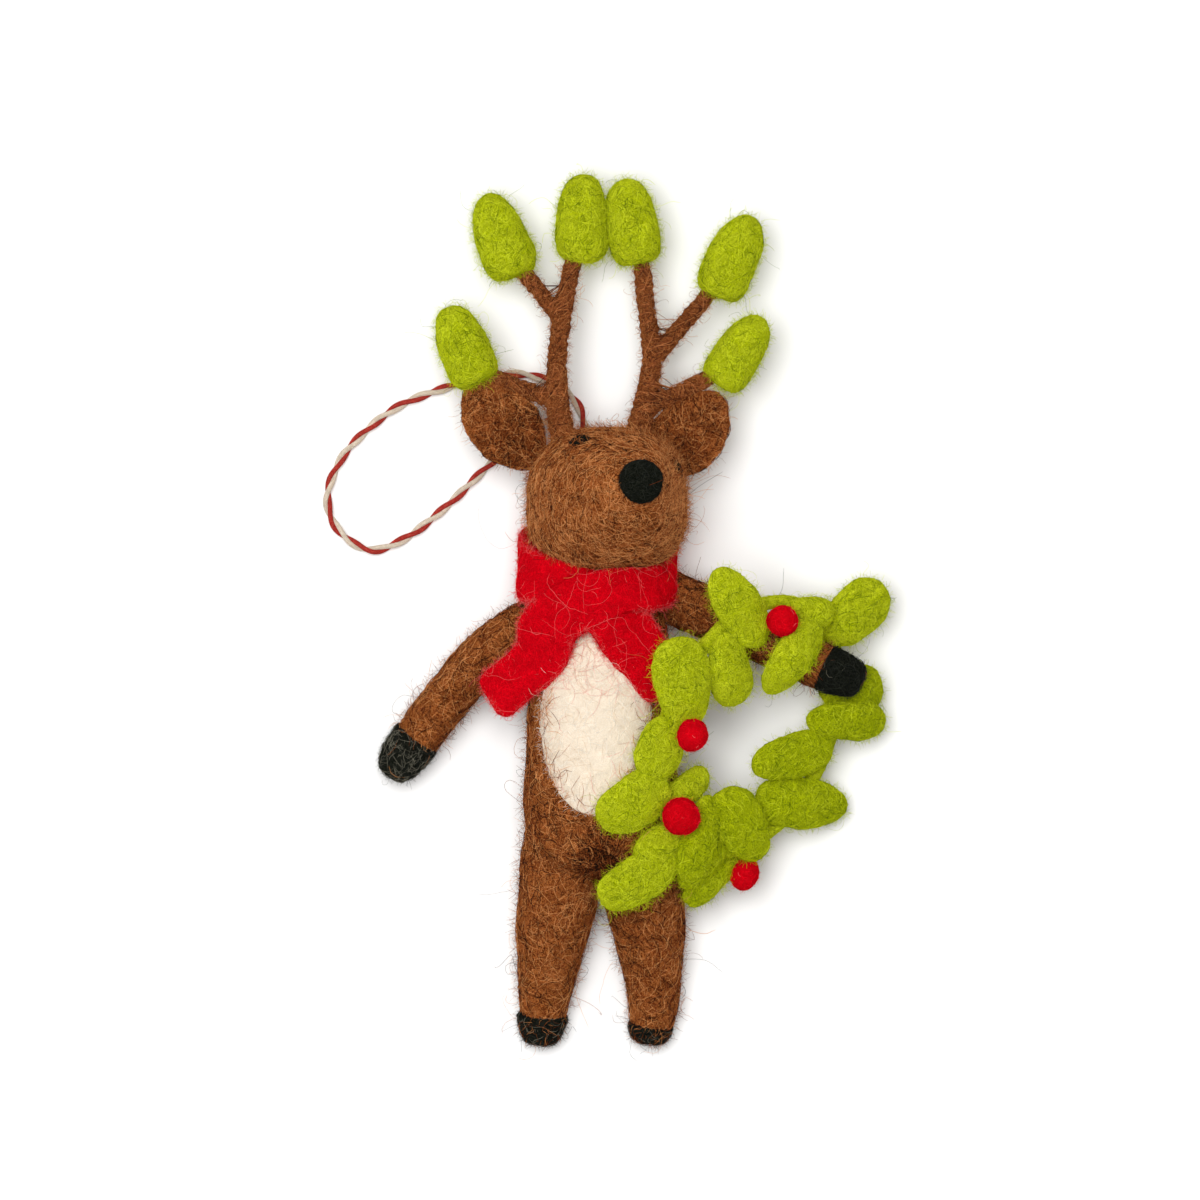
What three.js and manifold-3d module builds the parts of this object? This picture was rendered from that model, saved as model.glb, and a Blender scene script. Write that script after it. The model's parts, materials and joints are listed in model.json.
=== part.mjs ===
// A felted reindeer ornament, lying on its back. All sizes are in millimetres.
// +X points to the deer's left hand, +Y to its antlers and +Z out of its chest.
// The deer is drawn from the middle of its neck, and the whole is moved to its resting origin at the end.

import * as THREE from 'three';
import { mergeVertices } from 'three/addons/utils/BufferGeometryUtils.js';
import Module from 'manifold-3d';

const wasm = await Module();
wasm.setup();

// Fits
const gap = 0.3; // between pieces that touch
const swingGap = 0.45; // between a limb and the pocket that it turns in
const restCut = 0.5; // depth of the flats that the deer lies on
const overrun = 6; // how far a cutting block runs past what it cuts

// Torso, an egg of brown wool that is widest at the hips
const torsoLength = 58;
const torsoHalfWidth = 15.4;
const torsoHalfDepth = 12.2;
const torsoRise = 2.5; // its top above the neck line
const torsoTaperShares = [0.66, 0.81, 0.85, 0.9, 0.93, 0.97, 1];
const torsoAxisShares = [[0, 0, -0.06], [0, -0.45, 0], [0, -1, 0]];

// Belly patch, a thin skin of cream wool
const patchHalfWidth = 10.4;
const patchHalfHeight = 18.2;
const patchThick = 1.3;
const patchSideShare = -0.07; // its middle, in torso half widths
const patchDownShare = 0.5; // its middle, in torso lengths

// Head, a barrel that stands on its back and ends in the muzzle
const headHalfWidth = 15;
const headHalfHeight = 14.2;
const headDepth = 39.5;
const headRise = 14.5; // its middle above the neck line
const headTaperShares = [0.8, 0.9, 1, 1, 0.94, 0.84, 0.7, 0.6];
const headAxisShares = [[0, -0.07, 0], [0.07, 0, 0.42], [0.2, 0.1, 0.7], [0.4, 0.22, 1]];

// Face
const noseHalfWidth = 4.1;
const noseLength = 4.4;
const noseSpotShares = [0.5, 0.27]; // in head half sizes, from the head's middle
const noseSinkShare = 0.45; // how much of its length is felted into the muzzle
const eyeRadius = 1.6;
const eyeDepthShare = 0.72; // along the head, from its back
const eyeMiddleTurn = 104; // degrees round the head, to the line between the eyes
const eyeHalfSpread = 48; // degrees from that line to each eye

// Ears
const earLength = 20.6;
const earHalfWidth = 6.6;
const earHalfThick = 1.6;
const earHeight = 13; // above the floor
const earTaperShares = [0.55, 0.8, 1, 1.02, 0.9, 0.62];
const earPlaces = [
  { side: 'right', rootShares: [-0.77, 0.5], turn: 132 },
  { side: 'left', rootShares: [0.64, 0.33], turn: 50 },
];

// Antlers, each of three wool-wound branches round a forked wire
const beamLength = 34;
const beamRadius = 1.7;
const tineRadius = 1.4;
const wireRadius = 0.5;
const wireSink = 6; // how far the wire goes into the head
const wireSeat = 4; // how far the wire goes into a bud
const woolSeat = 1.2; // how far a branch's wool goes into a bud
const antlerHeight = 15; // of its root above the floor
const antlerDropShare = 0.11; // how far its tips lie lower, in beam lengths
const beamTaperShares = [1.35, 1.15, 1, 0.92, 0.88];
const tineTaperShares = [1.1, 1, 0.96];
const antlerPlaces = [
  {
    side: 'right',
    rootShares: [-0.48, 0.84],
    beamShares: [[0, 0], [-0.034, 0.22], [-0.034, 0.45], [-0.012, 0.67], [0.026, 0.865], [0.056, 1]],
    upperTine: { forkShare: 0.67, lengthShare: 0.37, turn: 128 },
    lowerTine: { forkShare: 0.21, lengthShare: 0.39, turn: 158 },
  },
  {
    side: 'left',
    rootShares: [0.46, 0.92],
    beamShares: [[0, 0], [0.05, 0.21], [0.08, 0.41], [0.065, 0.58], [0.04, 0.78], [0.024, 0.94]],
    upperTine: { forkShare: 0.44, lengthShare: 0.5, turn: 49.5 },
    lowerTine: { forkShare: 0.15, lengthShare: 0.4, turn: 26 },
  },
];

// Buds, green felt eggs on the six antler tips
const budLength = 16.5;
const budHalfWidth = 5;
const budTaperShares = [0.86, 1, 1.02, 0.96, 0.84];
const budPlaces = {
  right_beam: { seatShares: [0.1, 0.5], turn: 87, sizeShare: 1 },
  right_upper_tine: { seatShares: [-0.23, 0.37], turn: 111, sizeShare: 1 },
  right_lower_tine: { seatShares: [-0.36, 0.38], turn: 112, sizeShare: 0.95 },
  left_beam: { seatShares: [-0.12, 0.52], turn: 101, sizeShare: 1 },
  left_upper_tine: { seatShares: [0.27, 0.42], turn: 66, sizeShare: 1 },
  left_lower_tine: { seatShares: [0.4, 0.34], turn: 58, sizeShare: 0.92 },
};

// Arms
const armLength = 42.5;
const armRadius = 4.65;
const armTaperShares = [1.06, 1.03, 1, 0.97, 0.95, 0.95];
const shoulderHeight = 10.5; // above the floor
const rightShoulderShares = [-0.66, -0.16]; // in torso half widths and lengths
const leftShoulderShares = [0.69, -0.078];
const rightArmShares = [
  [0, 0, 0], [-0.124, -0.066, -0.01], [-0.303, -0.204, -0.04], [-0.474, -0.404, -0.08],
  [-0.585, -0.547, -0.11], [-0.707, -0.714, -0.14],
];
const leftArmTurn = -24.7; // degrees from +X
const leftArmClimbShare = 0.12;
const handLength = 8.8; // of black wool at the end of an arm
const rightShoulderTurns = [-12, 4, 20, 35]; // degrees, where the pocket is cut
const leftShoulderTurns = [0, 13, 26];

// Legs
const legLength = 38.2; // from the hip to the end of the hoof
const legRadius = 7.2;
const legTaperShares = [1, 1.03, 1.06, 1.02, 0.9, 0.76, 0.66, 0.62];
const hipHeight = 9.5; // above the floor
const hipSpreadShare = 0.495; // of the torso's half width
const hipDownShare = 0.905; // of the torso's length, below its top
const rightLegShares = [[0, 0], [-0.014, -0.23], [-0.052, -0.5], [-0.083, -0.76], [-0.1, -1]];
const leftLegShares = [[0, 0], [0.01, -0.23], [0.045, -0.5], [0.06, -0.76], [0.04, -1]];
const ankleDropShare = 0.19; // how far the hoof's middle lies lower than the hip, in leg lengths
const hoofLength = 5.6;
const woolSkin = 1.3; // thickness of the black wool over hands and hooves
const hipTurns = [0, 12]; // degrees, where the pocket is cut

// Scarf, one strip of red felt
const scarfThick = 2.4;
const collarHalfWidth = 15.4; // outside, across the neck
const collarHalfDepth = 12.7; // outside, from the chest to the nape
const collarStrip = 11;
const collarTilt = 20; // degrees that its front hangs lower
const collarRise = 2.4; // its middle above the neck line
const collarSideShare = -0.05; // its middle, in its own half widths
const tailHalfWidth = 5.2;
const tailReach = 22; // the longer tail's length along each axis
const rightTailShares = [
  [-0.2, -0.18, 1.1], [-0.4, -0.34, 1.02], [-0.54, -0.56, 0.9], [-0.74, -0.8, 0.77], [-0.97, -1.04, 0.66],
];
const leftTailShares = [[-0.12, -0.18, 1.12], [0.12, -0.4, 1.08], [0.34, -0.62, 1.02], [0.48, -0.78, 0.95]];
const tailTilt = 0.35; // sideways lean of the tails' faces, as a slope

// Wreath: an oval ring wound with green wool, with leaves and berries, threaded on the left arm
const ringHalfWidth = 17.7;
const ringHalfHeight = 25;
const ringTubeRadius = 1.3;
const wreathTurn = -23; // degrees of its short axis from +X
const wreathTilt = 30; // degrees that its right side leans down
const wreathOnArmShare = 0.7; // along the arm, where it passes through the ring
const wreathHangShares = [0.22, 0.65]; // where the arm passes, in ring half sizes
const leafLength = 17;
const leafHalfWidth = 4.9;
const leafHalfThick = 2.2;
const leafTaperShares = [0.82, 0.96, 1.02, 1.04, 1.02, 0.96];
// Each leaf: place in ring half sizes, turn in degrees, length and width shares,
// and how far its root, middle and tip are lifted straight up from the ring, in leaf half thicknesses
const leafPlaces = [
  { placeShares: [-0.7, 0.81], turn: 148, sizeShares: [1.08, 0.96], liftShares: [1.3, 1.3, 1] },
  { placeShares: [0.15, 0.61], turn: -106, sizeShares: [0.98, 0.86], liftShares: [1.6, 3.5, 2.2] },
  { placeShares: [0.12, 0.98], turn: 20, sizeShares: [0.62, 0.62], liftShares: [0.9, 1, 1] },
  { placeShares: [0.67, 1.11], turn: 64, sizeShares: [0.9, 1.1], liftShares: [0, 0.3, 0.5] },
  { placeShares: [0.98, 0.58], turn: 10, sizeShares: [0.82, 1], liftShares: [0.4, 0.5, 0.3] },
  { placeShares: [1.08, 0.33], turn: 18, sizeShares: [1, 0.82], liftShares: [1.4, 1.5, 1.1] },
  { placeShares: [0.64, -0.07], turn: 213, sizeShares: [1, 0.98], liftShares: [1.2, 1.2, 1] },
  { placeShares: [1.04, -0.36], turn: 14, sizeShares: [1.06, 1], liftShares: [0.5, 0.6, 0.4] },
  { placeShares: [0.38, -0.7], turn: -30, sizeShares: [1, 1], liftShares: [1.5, 1.6, 1.2] },
  { placeShares: [-0.03, -0.92], turn: -78, sizeShares: [1, 0.8], liftShares: [1.5, 1.5, 1.2] },
  { placeShares: [0.13, -1.05], turn: -111, sizeShares: [0.78, 0.72], liftShares: [-0.2, -0.1, 0] },
  { placeShares: [0.31, -1.16], turn: -112, sizeShares: [0.86, 0.62], liftShares: [-0.7, -0.9, -1.2] },
  { placeShares: [-0.51, -1.38], turn: -133, sizeShares: [1.06, 0.94], liftShares: [1, 0.6, -0.2] },
  { placeShares: [-0.44, -1.06], turn: -129, sizeShares: [0.72, 0.66], liftShares: [0.5, 0.6, 0.5] },
  { placeShares: [-0.96, -0.87], turn: -131, sizeShares: [0.94, 1.16], liftShares: [1.2, 0.8, -0.4] },
  { placeShares: [-0.42, -0.62], turn: 61, sizeShares: [0.6, 0.6], liftShares: [0, -0.2, -0.6] },
  { placeShares: [-0.91, -0.41], turn: -79, sizeShares: [0.74, 0.96], liftShares: [0.9, 1, 0.8] },
  { placeShares: [-0.98, 0.14], turn: 141, sizeShares: [1.04, 1.2], liftShares: [1.1, 1.3, 0.8] },
  { placeShares: [-0.5, 0.35], turn: -57, sizeShares: [0.85, 0.9], liftShares: [0.8, 1, 0.7] },
];
const berryRadius = 3;
const berryPlaces = [
  { placeShares: [-0.14, 0.84], liftShare: 3.4, sizeShare: 1 },
  { placeShares: [-0.61, -0.22], liftShare: 2.6, sizeShare: 0.98 },
  { placeShares: [-0.35, -0.82], liftShare: 2.9, sizeShare: 1.2 },
  { placeShares: [0.67, -1.04], liftShare: 0.3, sizeShare: 0.95 },
];

// Hanging loop: its middle line, laid on the floor from one side of the head's top to the other
const cordRadius = 0.88;
const cordSteps = 40;
const cordSink = 3; // how much deeper its sockets in the head are
const cordPoints = [
  [-2.2, 24.2, 4.3], [-2.6, 26.4, 2.6], [-3.2, 29.6, 1.5], [-4.6, 33.6, 1], [-8.6, 37.2, 0.95],
  [-15, 39.2, 0.95], [-22.4, 38.6, 0.95], [-29.6, 36.6, 0.95], [-38.2, 33.3, 0.95], [-44.3, 28.9, 0.95],
  [-49.5, 23.2, 0.95], [-52.2, 16.4, 0.95], [-51.4, 11.4, 0.95], [-48, 7.4, 0.95], [-43.7, 5.6, 0.95],
  [-38, 7.5, 0.95], [-30.4, 13.2, 0.95], [-20.5, 22.7, 0.95], [-13.6, 28.6, 0.95], [-10.6, 30.2, 1],
  [-7.8, 29.4, 1.4], [-6.4, 26.8, 2.6], [-5.9, 24.4, 4.3],
];

// Facets
const bodySides = 18;
const bodyRings = 12;
const limbSides = 12;
const limbRings = 11;
const smallSides = 10;
const smallRings = 7;
const wireSides = 6;
const wireSteps = 8;
const cordSides = 8;
const ringSides = 6;
const ovalSides = 26;

const xAxis = new THREE.Vector3(1, 0, 0);
const yAxis = new THREE.Vector3(0, 1, 0);
const zAxis = new THREE.Vector3(0, 0, 1);

// Wool and felt finishes

function felt(color) {
  return new THREE.MeshStandardMaterial({ color, roughness: 0.95, metalness: 0 });
}

const brownWool = felt(0x784623);
const creamWool = felt(0xf0e4d0);
const blackWool = felt(0x141917);
const redFelt = felt(0xd2061e);
const greenFelt = felt(0x96af1e);
const redTwine = felt(0xc86e5f);
const steelWire = new THREE.MeshStandardMaterial({ color: 0x9a9a98, roughness: 0.4, metalness: 0.9 });

// Solids

function closed(geometry) {
  const bare = geometry.index ? geometry.toNonIndexed() : geometry.clone();
  bare.deleteAttribute('normal');
  bare.deleteAttribute('uv');
  return mergeVertices(bare);
}

function toSolid(geometry) {
  const mesh = closed(geometry);
  const vertProperties = new Float32Array(mesh.attributes.position.array);
  const triVerts = new Uint32Array(mesh.index.array);
  return new wasm.Manifold(new wasm.Mesh({ numProp: 3, vertProperties, triVerts }));
}

function toGeometry(solid) {
  const mesh = solid.getMesh();
  const geometry = new THREE.BufferGeometry();
  geometry.setAttribute('position', new THREE.BufferAttribute(mesh.vertProperties, 3));
  geometry.setIndex(new THREE.BufferAttribute(mesh.triVerts, 1));
  return geometry;
}

function cutBy(solid, cutters) {
  return cutters.reduce((left, cutter) => left.subtract(cutter), solid);
}

// The main lump of a solid, once a cut has left crumbs beside it.
function mainLump(solid) {
  return solid.decompose().reduce((best, lump) => (lump.volume() > best.volume() ? lump : best));
}

// The value at a share of the way along a list of evenly spaced ones.
function valueAlong(values, share) {
  const place = share * (values.length - 1);
  const before = Math.min(Math.floor(place), values.length - 2);
  return THREE.MathUtils.lerp(values[before], values[before + 1], place - before);
}

function spineOf(points) {
  return new THREE.CatmullRomCurve3(points.map((point) => new THREE.Vector3(...point)));
}

// A felted form swells and tapers along a spine. Its section is a rounded oval whose first
// half width lies across the spine and whose second faces the front.
// A grown form stands out from the true one by the same amount all round.
function sectionAt(form, share, grow) {
  const centre = form.spine.getPointAt(share);
  const along = form.spine.getTangentAt(share);
  const across = new THREE.Vector3().crossVectors(along, form.front ?? zAxis).normalize();
  const facing = new THREE.Vector3().crossVectors(across, along);
  const plump = (1 - Math.abs(2 * share - 1) ** form.fullness) ** (1 / form.fullness);
  const taper = plump * valueAlong(form.taperShares ?? [1, 1], share);
  const shift = grow * (2 * share - 1);
  return {
    centre: centre.addScaledVector(along, shift),
    across: across.multiplyScalar(plump > 0 ? form.wide * taper + grow * plump : 0),
    facing: facing.multiplyScalar(plump > 0 ? form.deep * taper + grow * plump : 0),
  };
}

function pointOn(form, share, turn, grow = 0) {
  const section = sectionAt(form, share, grow);
  const power = form.squareness ?? 2;
  const side = Math.cos(turn);
  const rise = Math.sin(turn);
  const stretch = (Math.abs(side) ** power + Math.abs(rise) ** power) ** (-1 / power);
  return section.centre
    .addScaledVector(section.across, side * stretch)
    .addScaledVector(section.facing, rise * stretch);
}

function feltForm(form, grow = 0) {
  const ball = new THREE.SphereGeometry(1, form.sides ?? limbSides, form.rings ?? limbRings);
  const place = ball.attributes.position;
  for (let i = 0; i < place.count; i += 1) {
    const share = THREE.MathUtils.clamp((1 - place.getY(i)) / 2, 0, 1);
    const turn = Math.atan2(place.getZ(i), -place.getX(i));
    const point = pointOn(form, share, turn, grow);
    place.setXYZ(i, point.x, point.y, point.z);
  }
  return toSolid(ball);
}

// A round tube with flat ends along a curve.
function tube(curve, radius, sides, steps) {
  const section = new THREE.Shape();
  for (let i = 0; i < sides; i += 1) {
    const turn = (i / sides) * Math.PI * 2;
    const corner = [radius * Math.cos(turn), radius * Math.sin(turn)];
    if (i === 0) section.moveTo(...corner);
    else section.lineTo(...corner);
  }
  section.closePath();
  return toSolid(new THREE.ExtrudeGeometry(section, { steps, bevelEnabled: false, extrudePath: curve }));
}

// A block that reaches from the floor far down, to cut the flats that the deer lies on.
function belowFloor(height = 0) {
  const reach = (torsoLength + headHalfHeight + legLength + beamLength) * 2;
  const block = new THREE.BoxGeometry(reach, reach, overrun);
  block.translate(0, 0, height - overrun / 2);
  return toSolid(block);
}

// A solid turned about an upright line, in degrees.
function turned(solid, pivot, turn) {
  const move = new THREE.Matrix4().makeTranslation(...pivot);
  move.multiply(new THREE.Matrix4().makeRotationZ(THREE.MathUtils.degToRad(turn)));
  move.multiply(new THREE.Matrix4().makeTranslation(...pivot.map((value) => -value)));
  return solid.transform(move.elements);
}

function direction(turn) {
  const angle = THREE.MathUtils.degToRad(turn);
  return new THREE.Vector3(Math.cos(angle), Math.sin(angle), 0);
}

// The drawing: one group for the deer, with a group for each limb at its joint

const ornament = new THREE.Group();
const floor = belowFloor();

function jointGroup(parent, pivot) {
  const group = new THREE.Group();
  parent.add(group);
  parent.updateWorldMatrix(true, false);
  group.position.copy(parent.worldToLocal(new THREE.Vector3(...pivot)));
  group.updateWorldMatrix(true, false);
  return group;
}

// Adds a solid drawn in the deer's frame to a group, in the group's own frame.
function addPiece(name, solid, material, group = ornament) {
  const geometry = toGeometry(mainLump(solid));
  group.updateWorldMatrix(true, false);
  geometry.applyMatrix4(group.matrixWorld.clone().invert());
  geometry.computeVertexNormals();
  const mesh = new THREE.Mesh(geometry, material);
  mesh.name = name;
  group.add(mesh);
  return mesh;
}

// Torso and its patch

const torsoForm = {
  spine: spineOf(torsoAxisShares.map(([side, down, sink]) => [
    side * torsoHalfWidth,
    torsoRise + down * torsoLength,
    torsoHalfDepth * (1 + sink) - restCut,
  ])),
  wide: torsoHalfWidth,
  deep: torsoHalfDepth,
  fullness: 4.2,
  taperShares: torsoTaperShares,
  sides: bodySides,
  rings: bodyRings,
};

const patchMiddle = [patchSideShare * torsoHalfWidth, torsoRise - patchDownShare * torsoLength];

function patchSolid(grow) {
  const height = (torsoHalfDepth + patchThick + overrun) * 2;
  const oval = new THREE.CylinderGeometry(1, 1, height, ovalSides);
  oval.rotateX(Math.PI / 2);
  oval.scale(patchHalfWidth + grow, patchHalfHeight + grow, 1);
  oval.translate(...patchMiddle, torsoHalfDepth + height / 2);
  return toSolid(oval).intersect(feltForm(torsoForm, gap + patchThick + grow));
}

// Head

const headMiddle = [0, headRise, 0];
const headForm = {
  spine: spineOf(headAxisShares.map(([side, up, out]) => [
    headMiddle[0] + side * headHalfWidth,
    headMiddle[1] + up * headHalfHeight,
    out * headDepth - restCut,
  ])),
  wide: headHalfWidth,
  deep: headHalfHeight,
  fullness: 3,
  squareness: 2.5,
  taperShares: headTaperShares,
  front: yAxis,
  sides: bodySides,
  rings: bodyRings,
};

// Limbs

const rightShoulder = [
  rightShoulderShares[0] * torsoHalfWidth, torsoRise + rightShoulderShares[1] * torsoLength, shoulderHeight,
];
const leftShoulder = [
  leftShoulderShares[0] * torsoHalfWidth, torsoRise + leftShoulderShares[1] * torsoLength, shoulderHeight,
];
const hipSpread = hipSpreadShare * torsoHalfWidth;
const hipLine = torsoRise - hipDownShare * torsoLength;

// A limb starts one radius behind its joint, so that its round end turns in its pocket.
function limbForm(pivot, shares, length, radius, taperShares, sides) {
  const points = shares.map(([x, y, z]) => new THREE.Vector3(
    pivot[0] + x * length, pivot[1] + y * length, pivot[2] + (z ?? 0) * length,
  ));
  const start = points[0].clone().sub(points[1]).setLength(radius * taperShares[0]);
  points.unshift(points[0].clone().add(start));
  return {
    spine: new THREE.CatmullRomCurve3(points),
    wide: radius,
    deep: radius,
    fullness: 4.4,
    taperShares,
    sides,
  };
}

const rightArmForm = limbForm(rightShoulder, rightArmShares, armLength, armRadius, armTaperShares, limbSides);
const leftArmAim = direction(leftArmTurn).add(new THREE.Vector3(0, 0, leftArmClimbShare)).normalize();
const leftArmForm = limbForm(
  leftShoulder,
  [0, 0.33, 0.67, 1].map((share) => leftArmAim.clone().multiplyScalar(share).toArray()),
  armLength, armRadius, armTaperShares, limbSides,
);

function legFormAt(side, shares) {
  const pivot = [side * hipSpread, hipLine, hipHeight];
  const path = shares.map(([x, y]) => [x, y, -ankleDropShare * Math.abs(y)]);
  return limbForm(pivot, path, legLength, legRadius, legTaperShares, limbSides);
}

const rightLegForm = legFormAt(-1, rightLegShares);
const leftLegForm = legFormAt(1, leftLegShares);

function pocketsOf(form, pivot, turns) {
  const grown = feltForm(form, swingGap);
  return turns.map((turn) => turned(grown, pivot, turn));
}

const rightShoulderPockets = pocketsOf(rightArmForm, rightShoulder, rightShoulderTurns.map((turn) => -turn));
const leftShoulderPockets = pocketsOf(leftArmForm, leftShoulder, leftShoulderTurns);
const rightHip = [-hipSpread, hipLine, hipHeight];
const leftHip = [hipSpread, hipLine, hipHeight];
const hipPockets = [
  ...pocketsOf(rightLegForm, rightHip, hipTurns.map((turn) => -turn)),
  ...pocketsOf(leftLegForm, leftHip, hipTurns),
];

// The wool core of a limb is drawn in at its tip, and a cup of black wool covers it there.
function tipBlock(form, length, beyond) {
  const whole = form.spine.getLength();
  const from = form.spine.getPointAt(1 - length / whole);
  const aim = form.spine.getTangentAt(1 - length / whole);
  const block = new THREE.BoxGeometry(overrun * 4, overrun * 4, length + overrun * 2);
  block.translate(0, 0, (length + overrun * 2) / 2 + beyond);
  block.applyQuaternion(new THREE.Quaternion().setFromUnitVectors(zAxis, aim));
  block.translate(...from.toArray());
  return toSolid(block);
}

function coreOf(form) {
  const end = form.spine.getLength();
  const core = { ...form };
  const kept = [];
  for (let i = 0; i < limbRings; i += 1) {
    kept.push(form.spine.getPointAt((i / (limbRings - 1)) * (1 - woolSkin / end)));
  }
  core.spine = new THREE.CatmullRomCurve3(kept);
  core.wide = form.wide - woolSkin;
  core.deep = form.deep - woolSkin;
  return core;
}

function addLimb(limbName, tipName, form, tipLength, pivot) {
  const group = jointGroup(ornament, pivot);
  const core = coreOf(form);
  const whole = cutBy(feltForm(form), [floor]);
  const limb = cutBy(whole, [tipBlock(form, tipLength, 0)]).add(cutBy(feltForm(core), [floor]));
  const tip = whole.intersect(tipBlock(form, tipLength, gap)).subtract(feltForm(core, gap));
  addPiece(limbName, limb, brownWool, group);
  addPiece(tipName, tip, blackWool, group);
  return group;
}

// Scarf

const collarMiddle = [collarSideShare * collarHalfWidth, collarRise, collarHalfDepth + gap];

function collarSolid() {
  const band = new THREE.Shape();
  band.absellipse(0, 0, collarHalfWidth, collarHalfDepth, 0, Math.PI * 2);
  const opening = new THREE.Path();
  opening.absellipse(0, 0, collarHalfWidth - scarfThick, collarHalfDepth - scarfThick, 0, Math.PI * 2);
  band.holes.push(opening);
  const strip = new THREE.ExtrudeGeometry(band, {
    depth: collarStrip, steps: 1, bevelEnabled: false, curveSegments: ovalSides / 2,
  });
  strip.translate(0, 0, -collarStrip / 2);
  strip.rotateX(Math.PI / 2 + THREE.MathUtils.degToRad(collarTilt));
  strip.translate(...collarMiddle);
  return toSolid(strip);
}

function tailSolid(shares, lean) {
  return feltForm({
    spine: spineOf(shares.map((point) => point.map((share) => share * tailReach))),
    wide: tailHalfWidth,
    deep: scarfThick / 2,
    fullness: 12,
    squareness: 7,
    front: new THREE.Vector3(lean, 0, 1).normalize(),
    sides: 8,
    rings: 10,
  });
}

// Antlers and buds

function antlerPoint(root, [side, up]) {
  return new THREE.Vector3(
    root[0] + side * beamLength,
    root[1] + up * beamLength,
    antlerHeight - antlerDropShare * up * beamLength,
  );
}

function branchForm(curve, radius, taperShares) {
  return { spine: curve, wide: radius, deep: radius, fullness: 9, taperShares, sides: 8, rings: 9 };
}

// A curve that runs straight on past both of its ends.
function longer(curve, before, after, points = smallRings) {
  const first = curve.getPointAt(0).addScaledVector(curve.getTangentAt(0), -before);
  const last = curve.getPointAt(1).addScaledVector(curve.getTangentAt(1), after);
  const middle = curve.getSpacedPoints(points - 1);
  return new THREE.CatmullRomCurve3([first, ...middle, last]);
}

function addAntler(place) {
  const root = [
    headMiddle[0] + place.rootShares[0] * headHalfWidth, headMiddle[1] + place.rootShares[1] * headHalfHeight,
  ];
  const beam = new THREE.CatmullRomCurve3(place.beamShares.map((point) => antlerPoint(root, point)));
  const tines = ['upper', 'lower'].map((name) => {
    const tine = place[`${name}Tine`];
    const from = beam.getPointAt(tine.forkShare);
    const reach = direction(tine.turn).multiplyScalar(tine.lengthShare * beamLength);
    const sag = zAxis.clone().multiplyScalar(-antlerDropShare * reach.length());
    return { name, curve: new THREE.LineCurve3(from, from.clone().add(reach).add(sag)) };
  });
  const bore = wireRadius + gap;
  const beamWire = longer(beam, wireSink, wireSeat);
  const tineWires = tines.map(({ curve }) => longer(curve, 0, wireSeat));
  const wires = [beamWire, ...tineWires];
  const wire = wires.map((curve) => tube(curve, wireRadius, wireSides, wireSteps))
    .reduce((joined, one) => joined.add(one));
  const bores = wires.map((curve) => tube(curve, bore, wireSides, wireSteps));

  const beamForm = branchForm(longer(beam, 0, woolSeat), beamRadius, beamTaperShares);
  addPiece(`${place.side}_antler_wire`, wire, steelWire);
  addPiece(`${place.side}_antler_beam`, cutBy(feltForm(beamForm), [...bores, ...headCutter]), brownWool);
  const branches = [{ name: 'beam', curve: beam, wool: feltForm(beamForm, gap) }];
  tines.forEach(({ name, curve }) => {
    const form = branchForm(longer(curve, 0, woolSeat), tineRadius, tineTaperShares);
    const wool = cutBy(feltForm(form), [...bores, ...branches.map((branch) => branch.wool), ...headCutter]);
    addPiece(`${place.side}_antler_${name}_tine`, wool, brownWool);
    branches.push({ name: `${name}_tine`, curve, wool: feltForm(form, gap) });
  });
  return { bores, branches: branches.map((branch) => ({ ...branch, name: `${place.side}_${branch.name}` })) };
}

function budForm(tip, { seatShares, turn, sizeShare }) {
  const length = budLength * sizeShare;
  const middle = tip.clone().add(new THREE.Vector3(seatShares[0] * length, seatShares[1] * length, 0));
  const half = direction(turn).multiplyScalar(length / 2);
  return {
    spine: new THREE.LineCurve3(middle.clone().sub(half), middle.clone().add(half)),
    wide: budHalfWidth * sizeShare,
    deep: budHalfWidth * sizeShare,
    fullness: 2.7,
    taperShares: budTaperShares,
    sides: smallSides,
    rings: smallRings,
  };
}

// Pieces of the body

const headCutter = [feltForm(headForm, gap)];
const torsoCutter = feltForm(torsoForm, gap);

const antlers = antlerPlaces.map(addAntler);
const antlerBores = antlers.flatMap((antler) => antler.bores);
const branches = antlers.flatMap((antler) => antler.branches);

const loopCurve = spineOf(cordPoints);
const loopSockets = tube(
  longer(loopCurve, cordSink, cordSink, cordPoints.length), cordRadius + gap, cordSides, cordSteps,
);
const headSolid = cutBy(
  feltForm(headForm),
  [floor, loopSockets, ...antlerBores, ...rightShoulderPockets, ...leftShoulderPockets],
);
addPiece('head', headSolid, brownWool);

const torsoSolid = cutBy(
  feltForm(torsoForm),
  [floor, ...headCutter, ...rightShoulderPockets, ...leftShoulderPockets, ...hipPockets],
);
addPiece('torso', torsoSolid, brownWool);
addPiece('belly_patch', cutBy(patchSolid(0), [torsoCutter]), creamWool);

const noseAim = headForm.spine.getTangentAt(1);
const noseSpot = new THREE.Vector3(
  headMiddle[0] + noseSpotShares[0] * headHalfWidth,
  headMiddle[1] + noseSpotShares[1] * headHalfHeight,
  headDepth - restCut,
);
const noseSolid = feltForm({
  spine: new THREE.LineCurve3(
    noseSpot.clone().addScaledVector(noseAim, -noseLength * noseSinkShare),
    noseSpot.clone().addScaledVector(noseAim, noseLength * (1 - noseSinkShare)),
  ),
  wide: noseHalfWidth,
  deep: noseHalfWidth,
  fullness: 3,
  front: yAxis,
  sides: smallSides,
  rings: smallRings,
});
addPiece('nose', cutBy(noseSolid, headCutter), blackWool);

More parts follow.
